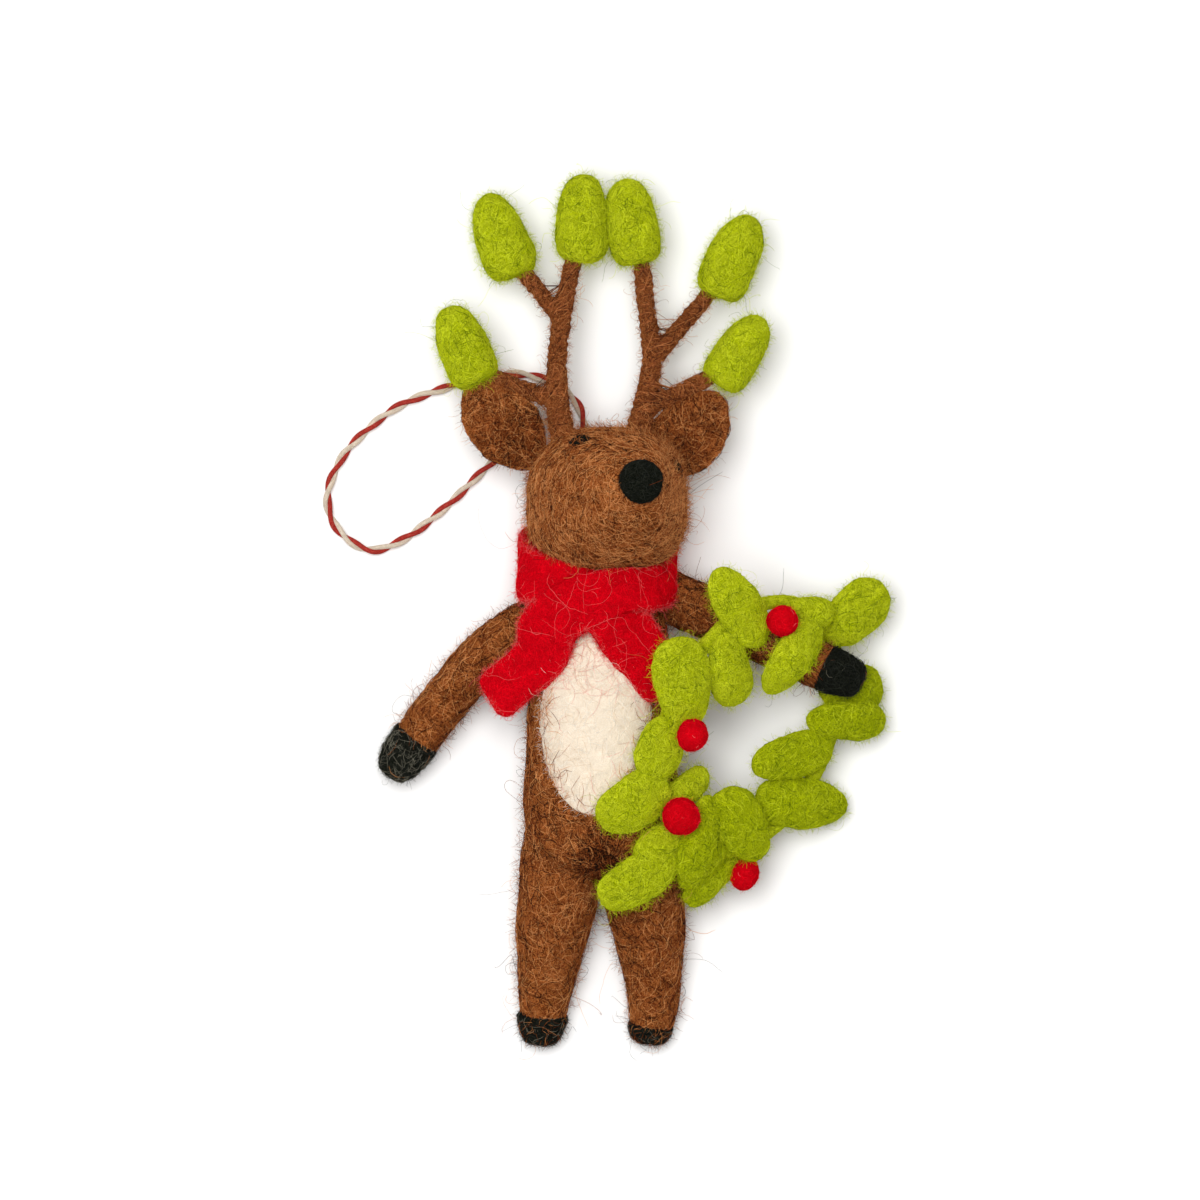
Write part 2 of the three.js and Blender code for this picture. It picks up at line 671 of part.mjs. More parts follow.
[['right', -1], ['left', 1]].forEach(([side, sign]) => {
  const turn = THREE.MathUtils.degToRad(eyeMiddleTurn + sign * eyeHalfSpread);
  const eye = new THREE.SphereGeometry(eyeRadius, smallSides, smallRings);
  eye.translate(...pointOn(headForm, eyeDepthShare, turn).toArray());
  addPiece(`${side}_eye`, cutBy(toSolid(eye), headCutter), blackWool);
});

const buds = [];
branches.forEach(({ name, curve }) => {
  const form = budForm(curve.getPointAt(1), budPlaces[name]);
  const cutters = [...antlerBores, ...branches.map((branch) => branch.wool), ...buds];
  addPiece(`${name}_bud`, cutBy(feltForm(form), cutters), greenFelt);
  buds.push(feltForm(form, gap));
});

earPlaces.forEach(({ side, rootShares, turn }) => {
  const root = new THREE.Vector3(
    headMiddle[0] + rootShares[0] * headHalfWidth, headMiddle[1] + rootShares[1] * headHalfHeight, earHeight,
  );
  const ear = feltForm({
    spine: new THREE.LineCurve3(root, root.clone().addScaledVector(direction(turn), earLength)),
    wide: earHalfWidth,
    deep: earHalfThick,
    fullness: 2.6,
    taperShares: earTaperShares,
    sides: smallSides,
    rings: smallRings + 1,
  });
  const antlerCutters = branches.map((branch) => branch.wool);
  addPiece(`${side}_ear`, cutBy(ear, [...headCutter, ...antlerCutters, ...buds]), brownWool);
});

// Limbs in their groups

addLimb('right_arm', 'right_hand', rightArmForm, handLength, rightShoulder);
const leftArmGroup = addLimb('left_arm', 'left_hand', leftArmForm, handLength, leftShoulder);
addLimb('right_leg', 'right_hoof', rightLegForm, hoofLength, rightHip);
addLimb('left_leg', 'left_hoof', leftLegForm, hoofLength, leftHip);

const scarfSolid = collarSolid()
  .add(tailSolid(rightTailShares, -tailTilt))
  .add(tailSolid(leftTailShares, tailTilt));
addPiece('scarf', cutBy(scarfSolid, [
  floor, torsoCutter, patchSolid(gap), ...headCutter, ...rightShoulderPockets, ...leftShoulderPockets,
]), redFelt);

// Wreath, drawn flat in its own frame and turned onto the arm

const armPlace = new THREE.Vector3(...leftShoulder).addScaledVector(leftArmAim, wreathOnArmShare * armLength);
const wreathGroup = jointGroup(leftArmGroup, armPlace.toArray());
const wreath = new THREE.Group();
wreathGroup.add(wreath);
wreath.rotation.set(0, THREE.MathUtils.degToRad(wreathTilt), THREE.MathUtils.degToRad(wreathTurn), 'ZYX');
const hang = new THREE.Vector3(wreathHangShares[0] * ringHalfWidth, wreathHangShares[1] * ringHalfHeight, 0);
wreath.position.copy(hang.applyEuler(wreath.rotation).negate());
wreath.updateWorldMatrix(true, false);

const upright = zAxis.clone().transformDirection(wreath.matrixWorld.clone().invert());

function placed(solid) {
  return solid.transform(wreath.matrixWorld.elements);
}

function ringSolid(grow) {
  const ring = new THREE.TorusGeometry(1, 1, ringSides, ovalSides);
  const place = ring.attributes.position;
  const steps = ring.attributes.uv;
  for (let i = 0; i < place.count; i += 1) {
    const round = steps.getX(i) * Math.PI * 2;
    const turn = steps.getY(i) * Math.PI * 2;
    const out = new THREE.Vector3(
      ringHalfHeight * Math.cos(round), ringHalfWidth * Math.sin(round), 0,
    ).normalize();
    const radius = ringTubeRadius + grow;
    const point = new THREE.Vector3(ringHalfWidth * Math.cos(round), ringHalfHeight * Math.sin(round), 0);
    point.addScaledVector(out, radius * Math.cos(turn)).addScaledVector(zAxis, radius * Math.sin(turn));
    place.setXYZ(i, point.x, point.y, point.z);
  }
  return placed(toSolid(ring));
}

function leafForm({ placeShares, turn, sizeShares, liftShares }) {
  const middle = new THREE.Vector3(placeShares[0] * ringHalfWidth, placeShares[1] * ringHalfHeight, 0);
  const half = direction(turn).multiplyScalar((leafLength * sizeShares[0]) / 2);
  const points = [-1, 0, 1].map((end, i) => middle.clone()
    .addScaledVector(half, end)
    .addScaledVector(upright, liftShares[i] * leafHalfThick));
  return {
    spine: new THREE.CatmullRomCurve3(points),
    wide: leafHalfWidth * sizeShares[1],
    deep: leafHalfThick,
    fullness: 3,
    taperShares: leafTaperShares,
    sides: smallSides,
    rings: smallRings,
  };
}

const armClearance = feltForm(leftArmForm, swingGap);
addPiece('wreath_ring', cutBy(ringSolid(0), [armClearance]), greenFelt, wreath);

function berrySolid({ placeShares, liftShare, sizeShare }, grow) {
  const berry = new THREE.SphereGeometry(berryRadius * sizeShare + grow, smallSides, smallRings);
  const middle = new THREE.Vector3(placeShares[0] * ringHalfWidth, placeShares[1] * ringHalfHeight, 0);
  berry.translate(...middle.addScaledVector(upright, liftShare * leafHalfThick).toArray());
  return placed(toSolid(berry));
}

const berryCutters = berryPlaces.map((place) => berrySolid(place, gap));
const leafCutters = [ringSolid(gap), armClearance, ...berryCutters];
leafPlaces.forEach((place, i) => {
  const form = leafForm(place);
  addPiece(`wreath_leaf_${i + 1}`, cutBy(placed(feltForm(form)), leafCutters), greenFelt, wreath);
  leafCutters.push(placed(feltForm(form, gap)));
});
berryPlaces.forEach((place, i) => {
  const berry = cutBy(berrySolid(place, 0), [ringSolid(gap), armClearance]);
  addPiece(`wreath_berry_${i + 1}`, berry, redFelt, wreath);
});

// Origin: the middle of the space that the deer fills, on the floor. The loop of twine isn't counted.

const box = new THREE.Box3().setFromObject(ornament, true);
const middle = box.getCenter(new THREE.Vector3());
addPiece('hanging_loop', tube(loopCurve, cordRadius, cordSides, cordSteps), redTwine);
ornament.position.set(-middle.x, -middle.y, -box.min.z);

export default ornament;
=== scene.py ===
# A needle-felted reindeer ornament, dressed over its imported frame.
# The deer is drawn in millimetres from the middle of its neck: +X points to its left hand, +Y to its
# antlers and +Z out of its chest. Each finished piece is then moved into the frame, in metres.

import bisect
import json
import math
import random

import bmesh
import bpy
from mathutils import Matrix, Quaternion, Vector, noise
from mathutils.bvhtree import BVHTree
from mathutils.kdtree import KDTree

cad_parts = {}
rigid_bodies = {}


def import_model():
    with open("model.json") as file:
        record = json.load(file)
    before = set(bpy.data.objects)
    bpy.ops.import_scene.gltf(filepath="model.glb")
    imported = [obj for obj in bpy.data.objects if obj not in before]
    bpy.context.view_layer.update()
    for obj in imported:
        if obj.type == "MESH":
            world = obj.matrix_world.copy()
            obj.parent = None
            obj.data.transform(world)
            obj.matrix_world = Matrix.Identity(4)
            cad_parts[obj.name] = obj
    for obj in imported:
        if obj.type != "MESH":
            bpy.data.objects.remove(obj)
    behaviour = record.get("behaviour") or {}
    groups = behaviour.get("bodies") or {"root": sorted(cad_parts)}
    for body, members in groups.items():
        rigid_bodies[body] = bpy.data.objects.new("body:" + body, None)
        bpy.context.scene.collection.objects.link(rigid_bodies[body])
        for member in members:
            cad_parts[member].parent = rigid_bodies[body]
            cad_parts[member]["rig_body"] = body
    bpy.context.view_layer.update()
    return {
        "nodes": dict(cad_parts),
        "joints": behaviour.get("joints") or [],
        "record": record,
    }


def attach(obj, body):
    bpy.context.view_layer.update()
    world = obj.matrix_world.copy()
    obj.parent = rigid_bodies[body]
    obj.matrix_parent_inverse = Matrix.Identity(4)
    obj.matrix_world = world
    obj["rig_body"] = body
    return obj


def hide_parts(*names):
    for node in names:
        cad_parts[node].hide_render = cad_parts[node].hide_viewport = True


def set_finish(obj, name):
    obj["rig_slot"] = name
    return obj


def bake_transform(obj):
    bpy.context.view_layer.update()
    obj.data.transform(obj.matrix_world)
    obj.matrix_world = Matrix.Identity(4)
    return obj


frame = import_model()

MM = 0.001
X_AXIS = Vector((1, 0, 0))
Y_AXIS = Vector((0, 1, 0))
Z_AXIS = Vector((0, 0, 1))

# Camera, straight above the ornament
VIEW_WIDTH = 228.0  # of the floor, seen in the picture
VIEW_MIDDLE = (-6.74, 1.73)  # of the picture, in the frame
VIEW_HEIGHT = 2400.0
VIEW_LEVEL = 12.0  # the height above the floor that the width holds for
SENSOR = 36.0
SKY_LIGHT = 0.4  # of the plain sky, which is white where it is seen

# Torso and belly patch
TORSO_LENGTH = 58.0
TORSO_HALF_WIDTH = 15.4
TORSO_HALF_DEPTH = 12.2
TORSO_RISE = 2.5
TORSO_TAPER_SHARES = (0.66, 0.81, 0.85, 0.9, 0.93, 0.97, 1.0)
TORSO_AXIS_SHARES = ((0, 0, -0.06), (0, -0.45, 0), (0, -1, 0))
BELLY_HALF_WIDTH = 10.4
BELLY_HALF_HEIGHT = 18.2
BELLY_MIDDLE = (-1.08, -26.5)
BELLY_PROUD = 1.3
BELLY_SINK = 0.8
REST_CUT = 0.5  # how far the backs are pressed flat on the table

# Head and face
HEAD_HALF_WIDTH = 15.0
HEAD_HALF_HEIGHT = 14.2
HEAD_DEPTH = 39.5
HEAD_RISE = 14.5
HEAD_TAPER_SHARES = (0.8, 0.9, 1.0, 1.0, 0.94, 0.84, 0.7, 0.6)
HEAD_AXIS_SHARES = ((0, -0.07, 0), (0.07, 0, 0.42), (0.2, 0.1, 0.7), (0.4, 0.22, 1))
NOSE_HALF_WIDTH = 4.1
NOSE_LENGTH = 4.4
NOSE_SPOT_SHARES = (0.5, 0.27)
NOSE_SINK_SHARE = 0.45
EYE_RADIUS = 1.9
EYE_STRETCHES = (1.15, 1.2, 0.45)
EYE_DEPTH_SHARE = 0.72
EYE_TURNS = {"right": 56.0, "left": 152.0}

# Ears
EAR_LENGTH = 20.6
EAR_HALF_WIDTH = 6.6
EAR_HALF_THICK = 1.7
EAR_CUP = 1.3
EAR_HEIGHT = 13.0
EAR_TAPER_SHARES = (0.55, 0.8, 1.0, 1.02, 0.9, 0.62)
EAR_PLACES = {"right": ((-0.77, 0.5), 132), "left": ((0.64, 0.33), 50)}

# Antlers and buds
BEAM_LENGTH = 34.0
BEAM_RADIUS = 1.75
TINE_RADIUS = 1.45
ANTLER_HEIGHT = 15.0
ANTLER_DROP_SHARE = 0.11
ANTLER_ROOT = 4.0  # how far the wool runs on into the head
ANTLER_SEAT = 1.6  # how far it runs on into a bud
WIND_PITCH = 1.7  # from turn to turn of the wound wool
WIND_DEPTH = 0.2
BEAM_TAPER_SHARES = (1.35, 1.3, 1.08, 1.0, 0.94, 0.9)
TINE_TAPER_SHARES = (1.1, 1.0, 0.96)
ANTLERS = {
    "right": {
        "root_shares": (-0.48, 0.84),
        "beam_shares": ((0, 0), (-0.034, 0.22), (-0.034, 0.45), (-0.012, 0.67), (0.026, 0.865), (0.056, 1)),
        "tines": {"upper": (0.67, 0.37, 128), "lower": (0.21, 0.39, 158)},
    },
    "left": {
        "root_shares": (0.46, 0.92),
        "beam_shares": ((0, 0), (0.05, 0.21), (0.08, 0.41), (0.065, 0.58), (0.04, 0.78), (0.024, 0.94)),
        "tines": {"upper": (0.44, 0.5, 49.5), "lower": (0.15, 0.4, 26)},
    },
}
BUD_LENGTH = 16.5
BUD_HALF_WIDTH = 5.0
BUD_TAPER_SHARES = (0.98, 1.02, 0.98, 0.9, 0.77)
BUDS = {  # seat in bud lengths from the branch's tip, turn in degrees, size
    "right_beam": ((0.1, 0.5), 87, 1.0),
    "right_upper_tine": ((-0.23, 0.37), 111, 1.0),
    "right_lower_tine": ((-0.36, 0.38), 112, 0.95),
    "left_beam": ((-0.12, 0.52), 101, 1.0),
    "left_upper_tine": ((0.27, 0.42), 66, 1.0),
    "left_lower_tine": ((0.4, 0.34), 58, 0.92),
}

# Arms and legs
ARM_LENGTH = 42.5
ARM_RADIUS = 4.65
ARM_TAPER_SHARES = (1.06, 1.03, 1.0, 0.97, 0.95, 0.95)
SHOULDER_HEIGHT = 10.5
RIGHT_SHOULDER_SHARES = (-0.66, -0.16)
LEFT_SHOULDER_SHARES = (0.69, -0.078)
RIGHT_ARM_SHARES = (
    (0, 0, 0), (-0.124, -0.066, -0.01), (-0.303, -0.204, -0.04), (-0.474, -0.404, -0.08),
    (-0.585, -0.547, -0.11), (-0.707, -0.714, -0.14),
)
LEFT_ARM_TURN = -24.7
LEFT_ARM_CLIMB_SHARE = 0.12
HAND_LENGTHS = {"right": 9.0, "left": 7.4}
LEG_LENGTH = 38.2
LEG_RADIUS = 7.2
LEG_TAPER_SHARES = (1.0, 1.03, 1.06, 1.02, 0.9, 0.76, 0.66, 0.62)
HIP_BEND = 6.0  # how far the wool bends above and below a hip
HIP_HEIGHT = 9.5
HIP_SPREAD_SHARE = 0.495
HIP_DOWN_SHARE = 0.905
RIGHT_LEG_SHARES = ((0, 0), (-0.014, -0.23), (-0.052, -0.5), (-0.083, -0.76), (-0.1, -1))
LEFT_LEG_SHARES = ((0, 0), (0.01, -0.23), (0.045, -0.5), (0.06, -0.76), (0.04, -1))
ANKLE_DROP_SHARE = 0.19
HOOF_LENGTHS = {"right": 5.4, "left": 3.6}
TIP_PROUD = 0.4  # of the black wool over the brown

# Scarf: the middle line of the strip, the way that it faces and its half width, from the lower tail's end
SCARF_THICK = 2.3
SCARF_ROUTE = (
    ((-21.1, -22.9, 15.4), (-0.35, -0.3, 1), 4.8),
    ((-15.2, -18.1, 18.1), (-0.35, -0.3, 1), 4.6),
    ((-11.2, -13.9, 20.9), (-0.35, -0.2, 1), 5.3),
    ((-10.1, -9.5, 22.7), (-0.3, -0.1, 1), 5.6),
    ((-6.5, -5.9, 24.3), (-0.15, -0.1, 1), 5.2),
    ((-1.5, -3.4, 25.5), (0, 0, 1), 4.8),
    ((4.0, -2.0, 25.4), (0.3, 0.1, 1), 4.4),
    ((9.0, -1.7, 22.8), (0.7, 0.1, 1), 4.1),
    ((12.2, -0.8, 17.8), (1, 0.1, 0.45), 4.1),
    ((12.9, 1.0, 12.6), (1, 0, 0), 4.4),
    ((12.2, 3.8, 6.4), (0.9, 0, -0.5), 5.0),
    ((6.8, 6.1, 2.5), (0.4, 0, -1), 5.2),
    ((-0.8, 7.0, 1.5), (0, 0, -1), 5.3),
    ((-8.0, 6.4, 2.4), (-0.4, 0, -1), 5.3),
    ((-13.4, 4.8, 6.4), (-0.9, 0, -0.5), 5.4),
    ((-14.8, 2.3, 13.0), (-1, 0, 0), 5.0),
    ((-13.5, 0.8, 18.8), (-1, 0.1, 0.5), 4.9),
    ((-9.6, -0.4, 22.4), (-0.5, 0.1, 1), 4.5),
    ((-4.4, -1.9, 24.0), (-0.1, 0.1, 1), 4.6),
    ((0.1, -4.5, 24.4), (0.05, 0, 1), 5.2),
    ((3.2, -7.7, 24.0), (0.15, -0.1, 1), 5.7),
    ((5.6, -11.7, 23.1), (0.25, -0.2, 1), 5.6),
    ((9.0, -16.0, 21.9), (0.3, -0.2, 1), 5.0),
    ((12.4, -20.6, 20.1), (0.35, -0.2, 1), 4.8),
)
SCARF_WAVE = 0.9
SCARF_END_POWER = 120  # the higher it is, the smaller the rounding of the tails' ends
SCARF_END_SHARE = 0.15
SCARF_RIM_SHARE = 0.86  # of the half width, where the pale edge starts: the strip's own loose fuzz, made pink as a painted highlight where thin rim fibres catch the light

# Wreath, drawn flat in its own frame
RING_HALF_WIDTH = 17.7
RING_HALF_HEIGHT = 25.0
RING_TUBE = 1.35
WREATH_TURN = -23.0
WREATH_TILT = 30.0
WREATH_ON_ARM_SHARE = 0.7
WREATH_HANG_SHARES = (0.22, 0.65)
LEAF_LENGTH = 17.0
LEAF_HALF_WIDTH = 4.9
LEAF_HALF_THICK = 2.2
LEAF_TAPER_SHARES = (0.82, 0.96, 1.02, 1.04, 1.02, 0.96)
LEAVES = (  # place in ring half sizes, turn in degrees, length and width, lifts of root, middle and tip
    ((-0.7, 0.81), 148, (1.08, 0.96), (1.3, 1.3, 1)),
    ((0.15, 0.61), -106, (0.98, 0.86), (1.6, 3.5, 2.2)),
    ((0.12, 0.98), 20, (0.62, 0.62), (0.9, 1, 1)),
    ((0.67, 1.11), 64, (0.9, 1.1), (0, 0.3, 0.5)),
    ((0.98, 0.58), 10, (0.82, 1), (0.4, 0.5, 0.3)),
    ((1.08, 0.33), 18, (1, 0.82), (1.4, 1.5, 1.1)),
    ((0.64, -0.07), 213, (1, 0.98), (1.2, 1.2, 1)),
    ((1.04, -0.36), 14, (1.06, 1), (0.5, 0.6, 0.4)),
    ((0.38, -0.7), -30, (1, 1), (1.5, 1.6, 1.2)),
    ((-0.03, -0.92), -78, (1, 0.8), (1.5, 1.5, 1.2)),
    ((0.13, -1.05), -111, (0.78, 0.72), (-0.2, -0.1, 0)),
    ((0.31, -1.16), -112, (0.86, 0.62), (-0.7, -0.9, -1.2)),
    ((-0.51, -1.38), -133, (1.06, 0.94), (1, 0.6, -0.2)),
    ((-0.44, -1.06), -129, (0.72, 0.66), (0.5, 0.6, 0.5)),
    ((-0.96, -0.87), -131, (0.94, 1.16), (1.2, 0.8, -0.4)),
    ((-0.42, -0.62), 61, (0.6, 0.6), (0, -0.2, -0.6)),
    ((-0.91, -0.41), -79, (0.74, 0.96), (0.9, 1, 0.8)),
    ((-0.98, 0.14), 141, (1.04, 1.2), (1.1, 1.3, 0.8)),
    ((-0.5, 0.35), -57, (0.85, 0.9), (0.8, 1, 0.7)),
)
LEAF_ENDS = {  # how wide the root and the tip of the less even leaves are
    1: (1.08, 0.8), 2: (1.12, 0.84), 4: (0.9, 1.06), 6: (0.86, 1.08), 7: (1.08, 0.72), 8: (1.22, 0.74),
    9: (1.1, 0.84), 10: (0.9, 1.05), 13: (0.92, 1.05), 15: (1.08, 0.84), 18: (0.8, 1.1), 19: (0.88, 1.08),
}
LEAF_ROOT_SHIFTS = {8: (-2.3, -0.6), 18: (-1.8, -3.5)}  # of leaves whose root runs on over the ring
SHADED_LEAVES = range(5, 13)  # of the leaves on the lower right, which get a darker green as painted shade
BERRY_RADIUS = 3.0
BERRIES = (  # place in ring half sizes, lift in leaf half thicknesses, size, length over width
    ((-0.14, 0.84), 3.4, 1.0, 1.0),
    ((-0.61, -0.22), 2.6, 0.98, 1.05),
    ((-0.35, -0.82), 2.9, 1.2, 1.0),
    ((0.67, -1.04), 0.3, 0.95, 1.18),
)

# Unevenness of the felt
RIPPLE_SHARE = 0.2
RIPPLE_FINENESS = 2.4

# Strands drawn in the wool
STROKE_LENGTH = 2.2
STROKE_WIDTH = 0.19
STROKE_CURL = 3.2
STROKE_CURL_SCALE = 260.0
STROKE_THRESHOLD = 0.555
STROKE_SOFTNESS = 0.07
STROKE_TURNS = {
    "Light": ((0, 0, 15), (0, 0, 75), (0, 0, 135), (20, 90, 0)),
    "Dark": ((0, 0, 45), (0, 0, 105), (40, 80, 30)),
}
MOTTLE_SCALE = 1100.0
PATCH_SCALE = 150.0
FINE_MOTTLE = 0.5

DOWN_ROUGHNESS = 0.3  # of the soft down that lights the edges of the felt

# Loose hairs
FUZZ_POINTS = 3
LOOSE_POINTS = 12
HAIRS_IN_PIECE = 7000
HAIR_CLEARANCE = 0.02
COVER_REACH = 3.0
HAIR_END_SHARE = 0.5
FUZZ_SHORT = 0.5
FUZZ_THIN = 0.55
FUZZ_CURLS = (0.4, 1.2)
LOOSE_LONG = 1.9
LOOSE_CURLS = (0.15, 0.7)
UNDERSIDE = -0.45  # how steeply skin looks down before its hairs get sparse
UNDERSIDE_SHARE = 0.2
TINY = 1e-6

# Hanging loop
TWINE_RADIUS = 0.88
TWINE_STRAND = 0.47
TWINE_PITCH = 9.5
TWINE_STEPS = 300
TWINE_ROUTE = (
    (-2.2, 24.2, 4.3), (-2.6, 26.4, 2.6), (-3.2, 29.6, 1.5), (-4.6, 33.6, 1), (-8.6, 37.2, 0.95),
    (-15, 39.2, 0.95), (-22.4, 38.6, 0.95), (-29.6, 36.6, 0.95), (-38.2, 33.3, 0.95), (-44.3, 28.9, 0.95),
    (-49.5, 23.2, 0.95), (-52.2, 16.4, 0.95), (-51.4, 11.4, 0.95), (-48, 7.4, 0.95), (-43.7, 5.6, 0.95),
    (-38, 7.5, 0.95), (-30.4, 13.2, 0.95), (-20.5, 22.7, 0.95), (-13.6, 28.6, 0.95), (-10.6, 30.2, 1),
    (-7.8, 29.4, 1.4), (-6.4, 26.8, 2.6), (-5.9, 24.4, 4.3),
)


# Lines and forms


def smooth_line(points, steps):
    """Points along the smooth line that passes through the given ones."""
    given = [Vector(point) for point in points]
    given = [given[0] * 2 - given[1], *given, given[-1] * 2 - given[-2]]
    line = []
    for before, start, end, after in zip(given, given[1:], given[2:], given[3:], strict=False):
        spans = [math.sqrt((b - a).length) for a, b in ((before, start), (start, end), (end, after))]
        first = (start - before) / spans[0] - (end - before) / (spans[0] + spans[1]) + (end - start) / spans[1]
        last = (end - start) / spans[1] - (after - start) / (spans[1] + spans[2]) + (after - end) / spans[2]
        first *= spans[1]
        last *= spans[1]
        for step in range(steps):
            t = step / steps
            bend = -3 * start + 3 * end - 2 * first - last
            twist = 2 * start - 2 * end + first + last
            line.append(start + first * t + bend * t**2 + twist * t**3)
    line.append(given[-2])
    return line


class Spine:
    """A smooth line that is measured by its length."""

    def __init__(self, points, steps=24):
        self.line = smooth_line(points, steps)
        self.reach = [0.0]
        for a, b in zip(self.line, self.line[1:], strict=False):
            self.reach.append(self.reach[-1] + (b - a).length)
        self.length = self.reach[-1]

    def at(self, share):
        """The place at a share of the length, and the direction there."""
        wanted = min(max(share, 0.0), 1.0) * self.length
        i = min(max(bisect.bisect_right(self.reach, wanted) - 1, 0), len(self.line) - 2)
        a, b = self.line[i], self.line[i + 1]
        t = (wanted - self.reach[i]) / max(self.reach[i + 1] - self.reach[i], 1e-9)
        return a.lerp(b, t), (b - a).normalized()


def longer(points, before, after):
    """The same route, run straight on past both ends."""
    first, second = Vector(points[0]), Vector(points[1])
    last, near = Vector(points[-1]), Vector(points[-2])
    start = first + (first - second).normalized() * before
    end = last + (last - near).normalized() * after
    return [start, *points, end]


def value_along(values, share):
    place = share * (len(values) - 1)
    before = min(int(place), len(values) - 2)
    return values[before] + (values[before + 1] - values[before]) * (place - before)


class Form:
    """A felted form: a rounded oval section that swells and tapers along a spine."""

    def __init__(self, points, wide, deep, tapers, fullness=(3.0, 3.0), front=Z_AXIS, squareness=2.0):
        self.spine = Spine(points)
        self.wide = wide
        self.deep = deep
        self.tapers = tapers
        self.fullness = fullness
        self.front = front
        self.squareness = squareness

    def at(self, share, turn, grow=0.0):
        """The place on the skin at a share of the length and a turn about the spine."""
        centre, along = self.spine.at(share)
        across = along.cross(self.front).normalized()
        facing = across.cross(along)
        fullness = self.fullness[0] if share < 0.5 else self.fullness[1]
        plump = max(1 - abs(2 * share - 1) ** fullness, 0.0) ** (1 / fullness)
        swell = plump * value_along(self.tapers, share)
        side, rise = math.cos(turn), math.sin(turn)
        power = self.squareness
        stretch = (abs(side) ** power + abs(rise) ** power) ** (-1 / power)
        out = across * side * stretch * (self.wide * swell + grow * plump)
        up = facing * rise * stretch * (self.deep * swell + grow * plump)
        return centre + along * grow * (2 * share - 1) + out + up


def turned_outward(shape):
    """Makes the faces of a closed shape look outward."""
    if shape.calc_volume(signed=True) < 0:
        bmesh.ops.reverse_faces(shape, faces=shape.faces)
    return shape


def shape_ball(form, around, along, place):
    """A ball of wool whose points are put at their places on a form."""
    ball = bmesh.new()
    bmesh.ops.create_uvsphere(ball, u_segments=around, v_segments=along, radius=1)
    for vert in ball.verts:
        share = (1 - max(min(vert.co.z, 1.0), -1.0)) / 2
        turn = math.atan2(vert.co.y, vert.co.x)
        vert.co = place(form, share, turn)
    return turned_outward(ball)


def felt_ball(form, around=48, along=36):
    return shape_ball(form, around, along, lambda f, share, turn: f.at(share, turn))


def rumple(shape, lump, lump_size, seed):
    """Gives a smooth shape the slight unevenness of hand-felted wool."""
    shape.normal_update()
    drift = Vector((seed, seed * 0.7, seed * 1.3))
    for vert in shape.verts:
        spot = vert.co / lump_size + drift
        height = noise.noise(spot) + RIPPLE_SHARE * noise.noise(spot * RIPPLE_FINENESS)
        vert.co += vert.normal * lump * height


def press_flat(shape, level=0.0):
    """Presses what lies below the table's top, or below a level over it, up onto it."""
    for vert in shape.verts:
        vert.co.z = max(vert.co.z, level)


# Placing the finished pieces

joints = {joint["name"]: joint for joint in frame["joints"]}
bodies = frame["record"]["behaviour"]["bodies"]
body_of = {node: body for body, nodes in bodies.items() for node in nodes}

right_shoulder = Vector((
    RIGHT_SHOULDER_SHARES[0] * TORSO_HALF_WIDTH,
    TORSO_RISE + RIGHT_SHOULDER_SHARES[1] * TORSO_LENGTH,
    SHOULDER_HEIGHT,
))
left_shoulder = Vector((
    LEFT_SHOULDER_SHARES[0] * TORSO_HALF_WIDTH,
    TORSO_RISE + LEFT_SHOULDER_SHARES[1] * TORSO_LENGTH,
    SHOULDER_HEIGHT,
))
shift = Vector(joints["right_shoulder"]["pos_m"]) - right_shoulder * MM
TO_FRAME = Matrix.Translation(shift) @ Matrix.Scale(MM, 4)
FROM_FRAME = TO_FRAME.inverted()
bends = {}  # the pieces that would bend between two bodies, with the bodies and where the bend starts and ends


def new_piece(name, shape, finish, smooth=True):
    """Turns a shape drawn in the deer's millimetres into an object in the frame."""
    bmesh.ops.transform(shape, matrix=TO_FRAME, verts=shape.verts)
    mesh = bpy.data.meshes.new(name)
    for face in shape.faces:
        face.smooth = smooth
    shape.to_mesh(mesh)
    shape.free()
    mesh.materials.append(finish)
    piece = bpy.data.objects.new(name, mesh)
    bpy.context.scene.collection.objects.link(piece)
    return piece


def settle(piece):
    """Makes what the modifiers show the piece's own mesh."""
    bpy.context.view_layer.update()
    shown = piece.evaluated_get(bpy.context.evaluated_depsgraph_get())
    mesh = bpy.data.meshes.new_from_object(shown)
    piece.modifiers.clear()
    piece.data = mesh
    return piece


def dress(piece, slot, *nodes):
    """Puts a piece in the place of its CAD nodes."""
    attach(piece, body_of[nodes[0]])
    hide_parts(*nodes)
    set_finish(piece, slot)
    return piece


def felted_together(name, shapes, voxel, rounds, finish):
    """Joins closed shapes into one smooth skin."""
    together = bmesh.new()
    for shape in shapes:
        part = bpy.data.meshes.new("part")
        shape.to_mesh(part)
        shape.free()
        together.from_mesh(part)
        bpy.data.meshes.remove(part)
    piece = new_piece(name, together, finish)
    remesh = piece.modifiers.new("felted_together", "REMESH")
    remesh.mode = "VOXEL"
    remesh.voxel_size = voxel * MM
    remesh.use_smooth_shade = True
    smooth = piece.modifiers.new("smooth", "SMOOTH")
    smooth.iterations = rounds
    return settle(piece)


def rumple_piece(piece, lump, lump_size, seed, level=0.0):
    shape = bmesh.new()
    shape.from_mesh(piece.data)
    bmesh.ops.transform(shape, matrix=FROM_FRAME, verts=shape.verts)
    rumple(shape, lump, lump_size, seed)
    press_flat(shape, level)
    bmesh.ops.transform(shape, matrix=TO_FRAME, verts=shape.verts)
    shape.to_mesh(piece.data)
    shape.free()


# Finishes


def colour(red, green, blue):
    """A screen colour as the shader wants it."""
    levels = [value / 255 for value in (red, green, blue)]
    return (*[(v / 12.92 if v <= 0.04045 else ((v + 0.055) / 1.055) ** 2.4) for v in levels], 1.0)


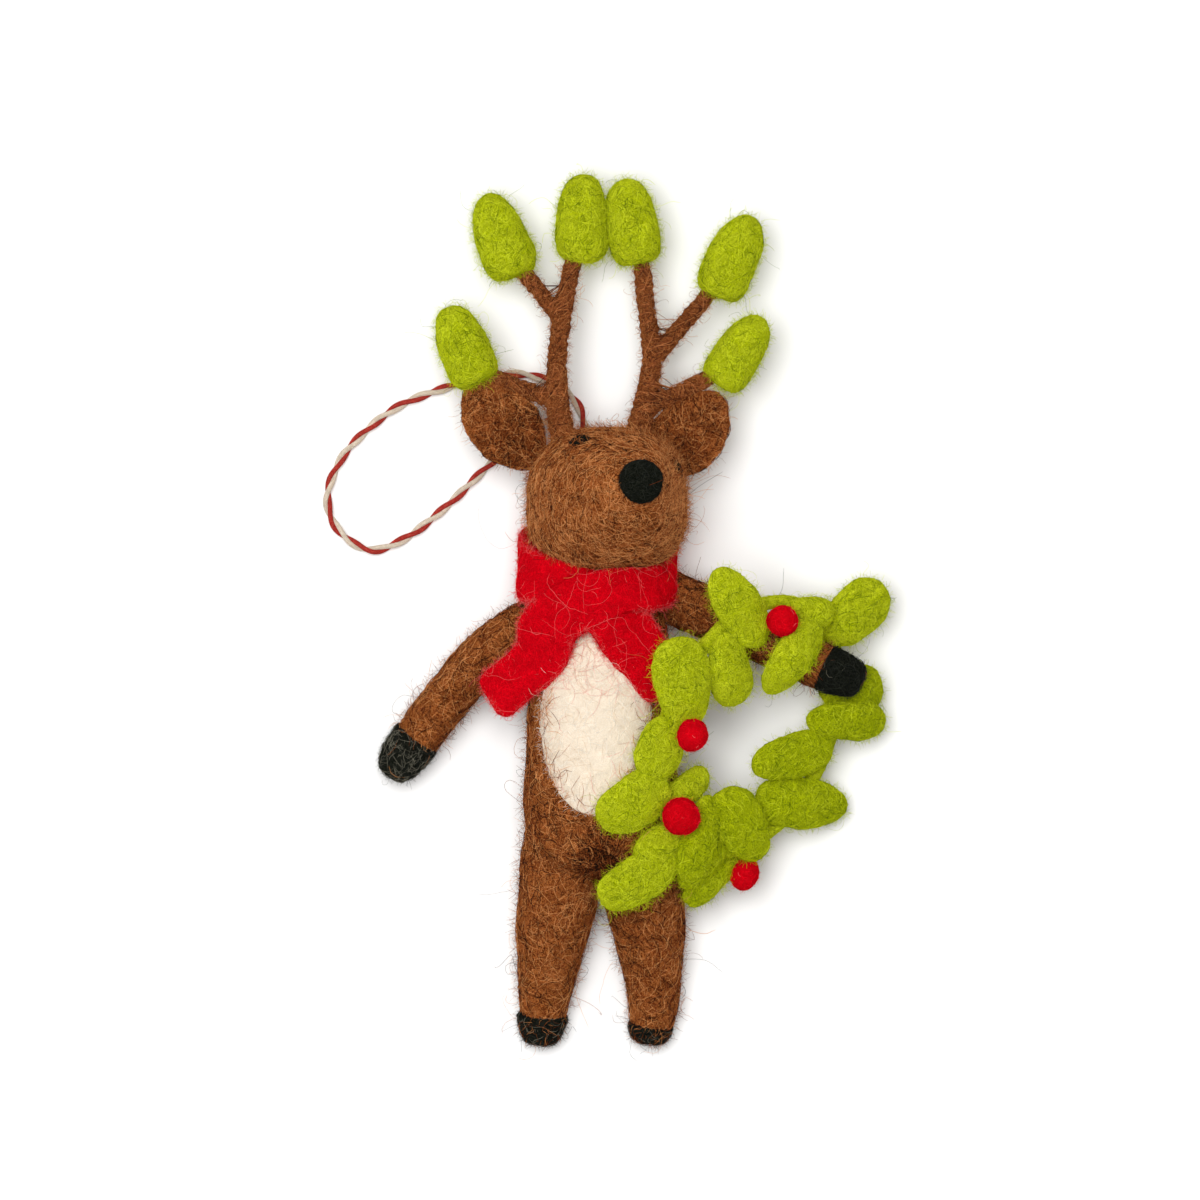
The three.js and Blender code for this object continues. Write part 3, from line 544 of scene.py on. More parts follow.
def new_node(tree, kind, **settings):
    node = tree.nodes.new(kind)
    for name, value in settings.items():
        setattr(node, name, value)
    return node


def sum_node(tree, operation, first, second=None, clamp=False):
    """A Math node fed with sockets or numbers."""
    node = new_node(tree, "ShaderNodeMath", operation=operation, use_clamp=clamp)
    for socket, value in zip(node.inputs, (first, second), strict=False):
        if value is None:
            continue
        if isinstance(value, (int, float)):
            socket.default_value = value
        else:
            tree.links.new(value, socket)
    return node.outputs[0]


def new_group(name, inputs, outputs):
    group = bpy.data.node_groups.new(name, "ShaderNodeTree")
    for label, kind, value in inputs:
        socket = group.interface.new_socket(label, in_out="INPUT", socket_type=kind)
        if value is not None:
            socket.default_value = value
    for label in outputs:
        group.interface.new_socket(label, in_out="OUTPUT", socket_type="NodeSocketFloat")
    start = new_node(group, "NodeGroupInput")
    end = new_node(group, "NodeGroupOutput")
    return group, start, end


def strand_layer(group, places, turn, threshold):
    """Fine strokes that run one way: a noise drawn out along the turned X axis, where it is high."""
    turned = new_node(group, "ShaderNodeMapping", vector_type="TEXTURE")
    turned.inputs["Rotation"].default_value = [math.radians(angle) for angle in turn]
    turned.inputs["Scale"].default_value = [size * MM for size in (STROKE_LENGTH, STROKE_WIDTH, STROKE_WIDTH)]
    turned.inputs["Location"].default_value = [angle * MM for angle in turn]
    group.links.new(places, turned.inputs["Vector"])
    field = new_node(group, "ShaderNodeTexNoise")
    field.inputs["Scale"].default_value = 1.0
    field.inputs["Detail"].default_value = 1.0
    group.links.new(turned.outputs[0], field.inputs["Vector"])
    strokes = new_node(group, "ShaderNodeMapRange")
    strokes.inputs["From Min"].default_value = threshold
    strokes.inputs["From Max"].default_value = threshold + STROKE_SOFTNESS
    group.links.new(field.outputs["Fac"], strokes.inputs["Value"])
    return strokes.outputs["Result"]


def make_wool_group():
    """Light and dark strands in several layers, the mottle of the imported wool, and their height."""
    group, start, end = new_group(
        "wool",
        [("Vector", "NodeSocketVector", None), ("Fineness", "NodeSocketFloat", 1.0)],
        ["Light", "Dark", "Mottle", "Height"],
    )
    sized = new_node(group, "ShaderNodeVectorMath", operation="SCALE")
    group.links.new(start.outputs["Vector"], sized.inputs[0])
    group.links.new(start.outputs["Fineness"], sized.inputs["Scale"])
    drift = new_node(group, "ShaderNodeTexNoise")
    drift.inputs["Scale"].default_value = STROKE_CURL_SCALE
    drift.inputs["Detail"].default_value = 1.0
    group.links.new(sized.outputs[0], drift.inputs["Vector"])
    curl = new_node(group, "ShaderNodeVectorMath", operation="SCALE")
    curl.inputs["Scale"].default_value = STROKE_CURL * MM
    group.links.new(drift.outputs["Color"], curl.inputs[0])
    curled = new_node(group, "ShaderNodeVectorMath", operation="ADD")
    group.links.new(sized.outputs[0], curled.inputs[0])
    group.links.new(curl.outputs[0], curled.inputs[1])
    layers = {}
    for name, turns in STROKE_TURNS.items():
        strokes = None
        for turn in turns:
            layer = strand_layer(group, curled.outputs[0], turn, STROKE_THRESHOLD)
            strokes = sum_node(group, "MAXIMUM", strokes, layer) if strokes else layer
        layers[name] = strokes
    clouds = []
    for scale, detail in ((MOTTLE_SCALE, 4.0), (PATCH_SCALE, 1.0)):
        cloud = new_node(group, "ShaderNodeTexNoise")
        cloud.inputs["Scale"].default_value = scale
        cloud.inputs["Detail"].default_value = detail
        group.links.new(sized.outputs[0], cloud.inputs["Vector"])
        spread = new_node(group, "ShaderNodeMapRange")
        spread.inputs["From Min"].default_value = 0.32
        spread.inputs["From Max"].default_value = 0.68
        group.links.new(cloud.outputs["Fac"], spread.inputs["Value"])
        clouds.append(spread.outputs["Result"])
    fine = sum_node(group, "MULTIPLY", clouds[0], FINE_MOTTLE)
    mottle = sum_node(group, "ADD", fine, sum_node(group, "MULTIPLY", clouds[1], 1 - FINE_MOTTLE))
    height = sum_node(group, "SUBTRACT", sum_node(group, "ADD", layers["Light"], mottle), layers["Dark"])
    for name, value in (*layers.items(), ("Mottle", mottle), ("Height", height)):
        group.links.new(value, end.inputs[name])
    return group


wool_group = make_wool_group()


def mixed(tree, share, first, second):
    """One colour laid over another where the share says."""
    node = new_node(tree, "ShaderNodeMix", data_type="RGBA")
    tree.links.new(share, node.inputs["Factor"])
    for socket, value in ((node.inputs["A"], first), (node.inputs["B"], second)):
        if isinstance(value, tuple):
            socket.default_value = value
        else:
            tree.links.new(value, socket)
    return node.outputs["Result"]


def new_material(name):
    material = bpy.data.materials.new(name)
    material.use_nodes = True
    return material, material.node_tree, material.node_tree.nodes["Principled BSDF"]


def wool_finish(name, middle, light, dark, fineness=1.0, strengths=(0.8, 0.7, 0.6), relief=0.12, down=0.0):
    """Packed wool: its own colour mottled with darker depths, with lighter and darker strands over it."""
    material, tree, shader = new_material(name)
    places = new_node(tree, "ShaderNodeTexCoord")
    wool = new_node(tree, "ShaderNodeGroup", node_tree=wool_group)
    tree.links.new(places.outputs["Object"], wool.inputs["Vector"])
    wool.inputs["Fineness"].default_value = fineness
    depths = mixed(tree, sum_node(tree, "MULTIPLY", wool.outputs["Mottle"], strengths[2]), middle, dark)
    shaded = mixed(tree, sum_node(tree, "MULTIPLY", wool.outputs["Dark"], strengths[1]), depths, dark)
    haired = mixed(tree, sum_node(tree, "MULTIPLY", wool.outputs["Light"], strengths[0]), shaded, light)
    tree.links.new(haired, shader.inputs["Base Color"])
    bump = new_node(tree, "ShaderNodeBump")
    bump.inputs["Distance"].default_value = relief * MM
    bump.inputs["Strength"].default_value = 0.9
    tree.links.new(wool.outputs["Height"], bump.inputs["Height"])
    tree.links.new(bump.outputs["Normal"], shader.inputs["Normal"])
    shader.inputs["Roughness"].default_value = 1.0
    shader.inputs["Specular IOR Level"].default_value = 0.0
    shader.inputs["Sheen Weight"].default_value = down
    shader.inputs["Sheen Roughness"].default_value = DOWN_ROUGHNESS
    shader.inputs["Sheen Tint"].default_value = light
    return material


def hair_finish(name, shade):
    """One loose hair's colour, duller in places along it."""
    material, tree, shader = new_material(name)
    places = new_node(tree, "ShaderNodeTexCoord")
    wear = new_node(tree, "ShaderNodeTexNoise")
    wear.inputs["Scale"].default_value = 900.0
    tree.links.new(places.outputs["Object"], wear.inputs["Vector"])
    dullness = new_node(tree, "ShaderNodeMapRange")
    dullness.inputs["To Min"].default_value = 0.6
    dullness.inputs["To Max"].default_value = 0.95
    tree.links.new(wear.outputs["Fac"], dullness.inputs["Value"])
    tree.links.new(dullness.outputs["Result"], shader.inputs["Roughness"])
    shader.inputs["Base Color"].default_value = shade
    shader.inputs["Specular IOR Level"].default_value = 0.08
    return material


def steel_finish():
    material, tree, shader = new_material("drawn_steel")
    places = new_node(tree, "ShaderNodeTexCoord")
    scratches = new_node(tree, "ShaderNodeTexNoise")
    scratches.inputs["Scale"].default_value = 2500.0
    tree.links.new(places.outputs["Object"], scratches.inputs["Vector"])
    dullness = new_node(tree, "ShaderNodeMapRange")
    dullness.inputs["To Min"].default_value = 0.25
    dullness.inputs["To Max"].default_value = 0.5
    tree.links.new(scratches.outputs["Fac"], dullness.inputs["Value"])
    tree.links.new(dullness.outputs["Result"], shader.inputs["Roughness"])
    shader.inputs["Base Color"].default_value = colour(150, 150, 148)
    shader.inputs["Metallic"].default_value = 1.0
    return material


brown_wool = wool_finish(
    "brown_wool", colour(120, 57, 18), colour(196, 118, 62), colour(46, 18, 4), down=0.35,
)
wound_wool = wool_finish(
    "wound_wool", colour(106, 53, 25), colour(164, 96, 52), colour(46, 19, 7), down=0.3,
)
# A little darker than the brown wool: painted shade for the cupped ears.
ear_wool = wool_finish(
    "ear_wool", colour(118, 56, 20), colour(186, 112, 60), colour(50, 20, 5), down=0.3,
)
cream_wool = wool_finish(
    "cream_wool", colour(235, 220, 199), colour(243, 233, 216), colour(218, 195, 168), 1.2, (0.3, 0.25, 0.3), 0.03,
)
black_wool = wool_finish(
    "black_wool", colour(14, 18, 13), colour(66, 66, 56), colour(3, 5, 3), 1.3, (0.25, 0.6, 0.6), 0.08,
)
green_felt = wool_finish(
    "green_felt", colour(180, 192, 2), colour(222, 230, 48), colour(88, 106, 0), 1.3, (0.65, 0.7, 0.55), 0.09, 0.6,
)
# A darker copy of the green felt: painted shade for the leaves that tilt away from the lamp.
shaded_felt = wool_finish(
    "shaded_green_felt", colour(156, 170, 0), colour(204, 214, 34), colour(74, 92, 0), 1.3, (0.65, 0.7, 0.55), 0.09, 0.6,
)
scarf_felt = wool_finish(
    "scarf_felt", colour(230, 0, 20), colour(240, 14, 32), colour(134, 0, 6), 1.3, (0.4, 0.5, 0.5), 0.08, 0.25,
)
berry_felt = wool_finish(
    "berry_felt", colour(220, 0, 18), colour(232, 24, 38), colour(156, 0, 8), 1.6, (0.3, 0.45, 0.45), 0.05,
)
steel = steel_finish()

HAIRS = {
    "brown": [
        hair_finish("brown_hair_light", colour(216, 145, 86)),
        hair_finish("brown_hair_tan", colour(170, 95, 45)),
        hair_finish("brown_hair_middle", colour(112, 51, 16)),
        hair_finish("brown_hair_dark", colour(34, 13, 2)),
    ],
    "wound": [
        hair_finish("wound_hair_light", colour(176, 108, 62)),
        hair_finish("wound_hair_tan", colour(138, 76, 40)),
        hair_finish("wound_hair_middle", colour(106, 55, 27)),
        hair_finish("wound_hair_dark", colour(60, 27, 11)),
    ],
    "cream": [
        hair_finish("cream_hair_white", colour(246, 239, 226)),
        hair_finish("cream_hair_fawn", colour(232, 214, 190)),
        hair_finish("cream_hair_rose", colour(234, 176, 164)),
        hair_finish("cream_hair_brown", colour(176, 134, 100)),
    ],
    "black": [
        hair_finish("black_hair_grey", colour(116, 112, 98)),
        hair_finish("black_hair_soot", colour(40, 42, 36)),
        hair_finish("black_hair_deep", colour(12, 15, 12)),
    ],
    "green": [
        hair_finish("green_hair_pale", colour(216, 226, 44)),
        hair_finish("green_hair_lime", colour(194, 206, 4)),
        hair_finish("green_hair_leaf", colour(166, 179, 0)),
        hair_finish("green_hair_moss", colour(98, 118, 0)),
    ],
    "red": [
        hair_finish("red_hair_pink", colour(243, 98, 98)),
        hair_finish("red_hair_bright", colour(236, 2, 28)),
        hair_finish("red_hair_deep", colour(196, 0, 16)),
    ],
}


# Loose hairs

hair_section = bpy.data.curves.new("hair_section", "CURVE")
hair_section.dimensions = "3D"
section_line = hair_section.splines.new("POLY")
section_line.points.add(2)
for point, turn in zip(section_line.points, (0, 240, 120), strict=True):
    point.co = (math.cos(math.radians(turn)), math.sin(math.radians(turn)), 0, 1)
section_line.use_cyclic_u = True
section_object = bpy.data.objects.new("hair_section", hair_section)


def faces_of(pieces):
    """All the corner places of some pieces, and their triangles."""
    places, corners = [], []
    for piece in pieces:
        mesh = piece.data
        mesh.calc_loop_triangles()
        first = len(places)
        places += [vert.co.copy() for vert in mesh.vertices]
        corners += [[first + i for i in triangle.vertices] for triangle in mesh.loop_triangles]
    return places, corners


class Skin:
    """The outside of some pieces of one body, for hairs to grow on."""

    def __init__(self, pieces, wanted=None, covers=()):
        places, corners = faces_of(pieces)
        self.tree = BVHTree.FromPolygons(places, corners)
        self.covers = [BVHTree.FromPolygons(*faces_of([cover])) for cover in covers]
        self.triangles = []
        self.sums = [0.0]
        for corner in corners:
            a, b, c = (places[i] for i in corner)
            if wanted and not wanted(FROM_FRAME @ ((a + b + c) / 3)):
                continue
            self.triangles.append((a, b, c))
            self.sums.append(self.sums[-1] + (b - a).cross(c - a).length / 2)

    def spot(self, chance):
        """A place chosen by chance, and the way out of the skin there."""
        i = min(bisect.bisect_left(self.sums, chance.uniform(0, self.sums[-1])), len(self.triangles)) - 1
        a, b, c = self.triangles[max(i, 0)]
        u, v = chance.random(), chance.random()
        if u + v > 1:
            u, v = 1 - u, 1 - v
        return a + (b - a) * u + (c - a) * v, (b - a).cross(c - a).normalized()

    def is_covered(self, place, normal):
        start = place + normal * HAIR_CLEARANCE * MM
        return any(cover.ray_cast(start, normal, COVER_REACH * MM)[0] for cover in self.covers)


def lying_hair(tree, place, normal, heading, stride, coat, chance):
    """A hair that curls along the skin, rises a little and comes down again."""
    points = coat["points"]
    bend = chance.gauss(0, coat["curl"])
    height = coat["lift"] * MM * chance.uniform(0.2, 1.5)
    line = []
    for step in range(points):
        rise = math.sin(math.pi * step / (points - 1)) * height
        line.append(place + normal * rise)
        heading.rotate(Quaternion(normal, bend + chance.gauss(0, coat["curl"] * coat["wander"])))
        nearest = tree.find_nearest(place + heading * stride)
        place, normal = nearest[0], nearest[1]
        heading = heading - normal * heading.dot(normal)
        if heading.length < TINY:
            heading = normal.orthogonal()
        heading.normalize()
    return line


def standing_hair(place, normal, heading, stride, points, curl, chance):
    """A hair that stands off the skin and curls in the air."""
    heading = (heading * chance.uniform(0.3, 1.0) + normal * chance.uniform(0.3, 1.0)).normalized()
    axis = Vector([chance.gauss(0, 1) for _ in range(3)]).normalized()
    line = []
    for _ in range(points):
        line.append(place.copy())
        place = place + heading * stride
        heading.rotate(Quaternion(axis, curl + chance.gauss(0, 0.2)))
        axis = (axis + Vector([chance.gauss(0, 0.25) for _ in range(3)])).normalized()
    return line


def any_way(place, normal, chance):
    heading = normal.orthogonal()
    heading.rotate(Quaternion(normal, chance.uniform(0, 2 * math.pi)))
    return heading


def one_hair(skin, coat, chance):
    """The points of one hair, its radius and whether it is fuzz, or nothing where the skin stays bare."""
    place, normal = skin.spot(chance)
    if normal.z < UNDERSIDE and chance.random() > UNDERSIDE_SHARE:
        return None
    if skin.is_covered(place, normal):
        return None
    heading = coat["comb"](place, normal, chance)
    length = coat["length"] * MM * chance.uniform(0.5, 1.5)
    radius = coat["thick"] * MM / 2 * chance.uniform(0.7, 1.25)
    kind = chance.random()
    is_fuzz = kind < coat["fuzz"]
    if is_fuzz:
        radius *= FUZZ_THIN
        stride = length * FUZZ_SHORT / (FUZZ_POINTS - 1)
        points = standing_hair(place, normal, heading, stride, FUZZ_POINTS, chance.uniform(*FUZZ_CURLS), chance)
    elif kind < coat["fuzz"] + coat["loose"]:
        radius *= FUZZ_THIN
        stride = length * LOOSE_LONG / (LOOSE_POINTS - 1)
        points = standing_hair(place, normal, heading, stride, LOOSE_POINTS, chance.uniform(*LOOSE_CURLS), chance)
    else:
        stride = length / (coat["points"] - 1)
        points = lying_hair(skin.tree, place, normal, heading, stride, coat, chance)
    for point in points:
        point.z = max(point.z, radius)
    return points, radius, is_fuzz


def draw_hairs(name, hairs, finishes, like):
    """Hairs as one closed mesh that moves like the piece that they grow on."""
    line = bpy.data.curves.new(name, "CURVE")
    line.dimensions = "3D"
    line.bevel_mode = "OBJECT"
    line.bevel_object = section_object
    line.use_fill_caps = True
    for finish in finishes:
        line.materials.append(finish)
    for points, radius, number in hairs:
        spline = line.splines.new("POLY")
        spline.points.add(len(points) - 1)
        spline.points.foreach_set("co", [value for point in points for value in (*point, 1)])
        ends = radius * HAIR_END_SHARE
        spline.points.foreach_set("radius", [ends, *[radius] * (len(points) - 2), ends])
        spline.material_index = number
    drawn = bpy.data.objects.new(name, line)
    bpy.context.scene.collection.objects.link(drawn)
    bpy.context.view_layer.update()
    mesh = bpy.data.meshes.new_from_object(drawn.evaluated_get(bpy.context.evaluated_depsgraph_get()))
    bpy.data.objects.remove(drawn)
    piece = bpy.data.objects.new(name, mesh)
    bpy.context.scene.collection.objects.link(piece)
    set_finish(piece, like["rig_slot"])
    if like.name in bends:
        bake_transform(piece)
    else:
        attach(piece, like["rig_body"])
    return piece


COAT = {
    "length": 4.0, "thick": 0.11, "lift": 0.25, "curl": 0.5, "wander": 0.5, "points": 4,
    "fuzz": 0.38, "loose": 0.016, "comb": any_way,
}


def grow_hairs(name, pieces, wool, mix, per_mm2, wanted=None, covers=(), **changes):
    """Covers pieces of one body with loose hairs. Sizes are in millimetres."""
    coat = {**COAT, **changes}
    chance = random.Random(name)
    skin = Skin(pieces, wanted, covers)
    hairs = []
    for _ in range(int(skin.sums[-1] / MM**2 * per_mm2)):
        hair = one_hair(skin, coat, chance)
        number = chance.choices(range(len(mix)), mix)[0]
        if hair:
            points, radius, is_fuzz = hair
            hairs.append((points, radius, min(number, len(mix) - 2) if is_fuzz else number))
    for number, first in enumerate(range(0, len(hairs), HAIRS_IN_PIECE)):
        label = f"{name}_{number + 1}" if len(hairs) > HAIRS_IN_PIECE else name
        draw_hairs(label, hairs[first : first + HAIRS_IN_PIECE], HAIRS[wool], pieces[0])


# Camera

camera_data = bpy.data.cameras.new("camera")
camera_data.sensor_width = SENSOR
camera_data.lens = SENSOR * (VIEW_HEIGHT - VIEW_LEVEL) / VIEW_WIDTH
camera = bpy.data.objects.new("camera", camera_data)
camera.location = (VIEW_MIDDLE[0] * MM, VIEW_MIDDLE[1] * MM, VIEW_HEIGHT * MM)
camera_data.clip_end = VIEW_HEIGHT * MM * 4
bpy.context.scene.collection.objects.link(camera)
bpy.context.scene.camera = camera


# Hanging loop, of two strands laid round each other


def strand_points(spine, phase):
    """One strand's middle line, wound round the twine's."""
    side = Z_AXIS.copy()
    line = []
    for step in range(TWINE_STEPS + 1):
        share = step / TWINE_STEPS
        place, along = spine.at(share)
        side = (side - along * side.dot(along)).normalized()
        turn = 2 * math.pi * share * spine.length / TWINE_PITCH + phase
        out = side * math.cos(turn) + along.cross(side) * math.sin(turn)
        line.append(place + out * (TWINE_RADIUS - TWINE_STRAND))
    return line


def wound_tube(name, points, radius, sides, closed=False):
    """A round tube along a line of points, as a mesh in the frame."""
    line = bpy.data.curves.new(name, "CURVE")
    line.dimensions = "3D"
    line.bevel_depth = radius * MM
    line.bevel_resolution = sides
    line.use_fill_caps = True
    spline = line.splines.new("POLY")
    spline.points.add(len(points) - 1)
    spline.points.foreach_set("co", [value for point in points for value in (*(TO_FRAME @ point), 1)])
    spline.use_cyclic_u = closed
    drawn = bpy.data.objects.new(name, line)
    bpy.context.scene.collection.objects.link(drawn)
    bpy.context.view_layer.update()
    mesh = bpy.data.meshes.new_from_object(drawn.evaluated_get(bpy.context.evaluated_depsgraph_get()))
    bpy.data.objects.remove(drawn)
    for face in mesh.polygons:
        face.use_smooth = True
    return mesh


def yarn_finish(name, middle, light, dark):
    """Cotton yarn: fine hairs and the grooves of its own twist."""
    return wool_finish(name, middle, light, dark, 2.0, (0.4, 0.5, 0.4), 0.06)


twine_spine = Spine(longer(TWINE_ROUTE, 2.0, 2.0))
twine_shape = bmesh.new()
twine_finishes = [
    yarn_finish("red_yarn", colour(192, 44, 36), colour(222, 110, 96), colour(128, 18, 16)),
    yarn_finish("cream_yarn", colour(244, 226, 202), colour(252, 242, 226), colour(206, 180, 152)),
]
for number in range(len(twine_finishes)):
    known = len(twine_shape.faces)
    strand = wound_tube(f"strand_{number}", strand_points(twine_spine, math.pi * number), TWINE_STRAND, 3)
    twine_shape.from_mesh(strand)
    twine_shape.faces.ensure_lookup_table()
    for face in twine_shape.faces[known:]:
        face.material_index = number
twine_mesh = bpy.data.meshes.new("twine")
twine_shape.to_mesh(twine_mesh)
twine_shape.free()
for finish in twine_finishes:
    twine_mesh.materials.append(finish)
twine = bpy.data.objects.new("twine", twine_mesh)
bpy.context.scene.collection.objects.link(twine)
dress(twine, "red_twine", "hanging_loop")
[TO_FRAME @ point for point in twine_spine.line[::6]]

# Torso, belly and head

torso_form = Form(
    [
        (side * TORSO_HALF_WIDTH, TORSO_RISE + down * TORSO_LENGTH, TORSO_HALF_DEPTH * (1 + sink) - REST_CUT)
        for side, down, sink in TORSO_AXIS_SHARES
    ],
    TORSO_HALF_WIDTH, TORSO_HALF_DEPTH, TORSO_TAPER_SHARES, fullness=(4.2, 4.2),
)
torso_shape = felt_ball(torso_form, 80, 64)
press_flat(torso_shape)
torso_skin = BVHTree.FromBMesh(torso_shape)

belly_shape = bmesh.new()
bmesh.ops.create_grid(belly_shape, x_segments=44, y_segments=64, size=1)
for vert in belly_shape.verts:
    x, y = vert.co.x, vert.co.y
    side, rise = x * math.sqrt(1 - y * y / 2), y * math.sqrt(1 - x * x / 2)
    narrow = 1 - 0.16 * max(rise, 0) ** 2
    spot = Vector((
        BELLY_MIDDLE[0] + side * BELLY_HALF_WIDTH * narrow,
        BELLY_MIDDLE[1] + rise * BELLY_HALF_HEIGHT,
        TORSO_HALF_DEPTH * 4,
    ))
    on_torso = torso_skin.ray_cast(spot, -Z_AXIS)[0]
    edge = min(math.hypot(side, rise), 1.0)
    vert.co = on_torso + Z_AXIS * (BELLY_PROUD * (1 - edge**5) - 0.15 * edge)
under = bmesh.ops.solidify(belly_shape, geom=belly_shape.faces[:], thickness=-BELLY_SINK)
bmesh.ops.recalc_face_normals(belly_shape, faces=belly_shape.faces)
rumple(belly_shape, 0.1, 6.0, 2)
belly = dress(new_piece("belly_wool", belly_shape, cream_wool), "cream_wool", "belly_patch")

head_form = Form(
    [
        (side * HEAD_HALF_WIDTH, HEAD_RISE + up * HEAD_HALF_HEIGHT, out * HEAD_DEPTH - REST_CUT)
        for side, up, out in HEAD_AXIS_SHARES
    ],
    HEAD_HALF_WIDTH, HEAD_HALF_HEIGHT, HEAD_TAPER_SHARES, fullness=(3.0, 3.0), front=Y_AXIS, squareness=2.5,
)
head_shape = felt_ball(head_form, 80, 64)
rumple(head_shape, 0.3, 8.0, 3)
press_flat(head_shape)
head_skin = BVHTree.FromBMesh(head_shape)
head = dress(new_piece("head_wool", head_shape, brown_wool), "brown_wool", "head")

muzzle_aim = head_form.spine.at(1.0)[1]
nose_spot = Vector((
    NOSE_SPOT_SHARES[0] * HEAD_HALF_WIDTH,
    HEAD_RISE + NOSE_SPOT_SHARES[1] * HEAD_HALF_HEIGHT,
    HEAD_DEPTH - REST_CUT,
))
nose_ends = (-NOSE_LENGTH * NOSE_SINK_SHARE, NOSE_LENGTH * (1 - NOSE_SINK_SHARE))
nose_form = Form(
    [nose_spot + muzzle_aim * end for end in nose_ends],
    NOSE_HALF_WIDTH, NOSE_HALF_WIDTH, (1.0, 1.0), fullness=(3.0, 3.0), front=Y_AXIS,
)
nose_shape = felt_ball(nose_form, 40, 28)
rumple(nose_shape, 0.25, 2.4, 4)
nose = dress(new_piece("nose_wool", nose_shape, black_wool), "black_wool", "nose")

eyes = {}
for side, turn in EYE_TURNS.items():
    middle = head_form.at(EYE_DEPTH_SHARE, math.radians(turn))
    spot, outward = head_skin.find_nearest(middle)[:2]
    eye_shape = bmesh.new()
    bmesh.ops.create_uvsphere(eye_shape, u_segments=24, v_segments=16, radius=EYE_RADIUS)
    bmesh.ops.scale(eye_shape, vec=EYE_STRETCHES, verts=eye_shape.verts)
    turned = outward.to_track_quat("Z", "Y").to_matrix().to_4x4()
    bmesh.ops.transform(eye_shape, matrix=Matrix.Translation(spot) @ turned, verts=eye_shape.verts)
    rumple(eye_shape, 0.25, 1.2, 5 + turn)
    eyes[side] = dress(new_piece(f"{side}_eye_wool", eye_shape, black_wool), "black_wool", f"{side}_eye")

# Ears

ears, ear_roots = {}, {}
for side, (root_shares, turn) in EAR_PLACES.items():
    root = Vector((
        root_shares[0] * HEAD_HALF_WIDTH, HEAD_RISE + root_shares[1] * HEAD_HALF_HEIGHT, EAR_HEIGHT,
    ))
    ear_roots[side] = root
    aim = Vector((math.cos(math.radians(turn)), math.sin(math.radians(turn)), 0))
    ear_form = Form([root, root + aim * EAR_LENGTH], EAR_HALF_WIDTH, EAR_HALF_THICK, EAR_TAPER_SHARES, fullness=(2.6, 2.6))
    ear_shape = felt_ball(ear_form, 40, 32)
    across = aim.cross(Z_AXIS)
    for vert in ear_shape.verts:
        off = (vert.co - root).dot(across) / EAR_HALF_WIDTH
        vert.co.z += EAR_CUP * (off * off - 0.35)
    rumple(ear_shape, 0.3, 4.5, 11 + turn)
    ears[side] = dress(new_piece(f"{side}_ear_wool", ear_shape, ear_wool), "brown_wool", f"{side}_ear")

# Antlers and their buds


def branch_form(points, radius, tapers):
    return Form(points, radius, radius, tapers, fullness=(9.0, 9.0))


def wound_skin(form, share, turn):
    """The skin of a branch, in low ridges where its wool is wound round it."""
    ridge = math.sin(turn + 2 * math.pi * share * form.spine.length / WIND_PITCH)
    return form.at(share, turn, WIND_DEPTH * ridge)


antler_wool = {}
branch_spines = {}
buds = {}
for side, antler in ANTLERS.items():
    root = Vector((
        antler["root_shares"][0] * HEAD_HALF_WIDTH, HEAD_RISE + antler["root_shares"][1] * HEAD_HALF_HEIGHT,
        ANTLER_HEIGHT,
    ))
    route = [
        root + BEAM_LENGTH * Vector((across, up, -ANTLER_DROP_SHARE * up)) for across, up in antler["beam_shares"]
    ]
    beam = Spine(route)
    tips = {"beam": beam.at(1.0)[0]}
    forms = [branch_form(longer(route, ANTLER_ROOT, ANTLER_SEAT), BEAM_RADIUS, BEAM_TAPER_SHARES)]
    for name, (fork, length, turn) in antler["tines"].items():
        start = beam.at(fork)[0]
        reach = length * BEAM_LENGTH
        aim = Vector((math.cos(math.radians(turn)), math.sin(math.radians(turn)), -ANTLER_DROP_SHARE))
        tips[f"{name}_tine"] = start + aim * reach
        tine = [start, start + aim * (reach + ANTLER_SEAT)]
        forms.append(branch_form(tine, TINE_RADIUS, TINE_TAPER_SHARES))
    branches = [shape_ball(form, 24, 160, wound_skin) for form in forms]
    for number, branch in enumerate(branches):
        rumple(branch, 0.22, 2.2, 20 + number)
    branch_spines[side] = [form.spine for form in forms]
    piece = felted_together(f"{side}_antler_wool", branches, 0.28, 3, wound_wool)
    names = [f"{side}_antler_{name}" for name in ("beam", "upper_tine", "lower_tine")]
    antler_wool[side] = dress(piece, "brown_wool", *names)
    for name, tip in tips.items():
        seat, turn, size = BUDS[f"{side}_{name}"]
        length = BUD_LENGTH * size
        middle = tip + Vector((seat[0], seat[1], 0)) * length
        half = Vector((math.cos(math.radians(turn)), math.sin(math.radians(turn)), 0)) * length / 2
        bud_form = Form(
            [middle - half, middle + half], BUD_HALF_WIDTH * size, BUD_HALF_WIDTH * size, BUD_TAPER_SHARES,
            fullness=(4.6, 2.5),
        )
        bud_shape = felt_ball(bud_form, 48, 44)
        rumple(bud_shape, 0.4, 4.6, turn)
        node = f"{side}_{name}_bud"
        buds[node] = dress(new_piece(f"{side}_{name}_bud_felt", bud_shape, green_felt), "green_felt", node)

# Arms and legs


def limb_form(pivot, shares, length, radius, tapers):
    points = [pivot + Vector(share) * length for share in shares]
    start = points[0] + (points[0] - points[1]).normalized() * radius * tapers[0]
    return Form([start, *points], radius, radius, tapers, fullness=(4.4, 4.4))


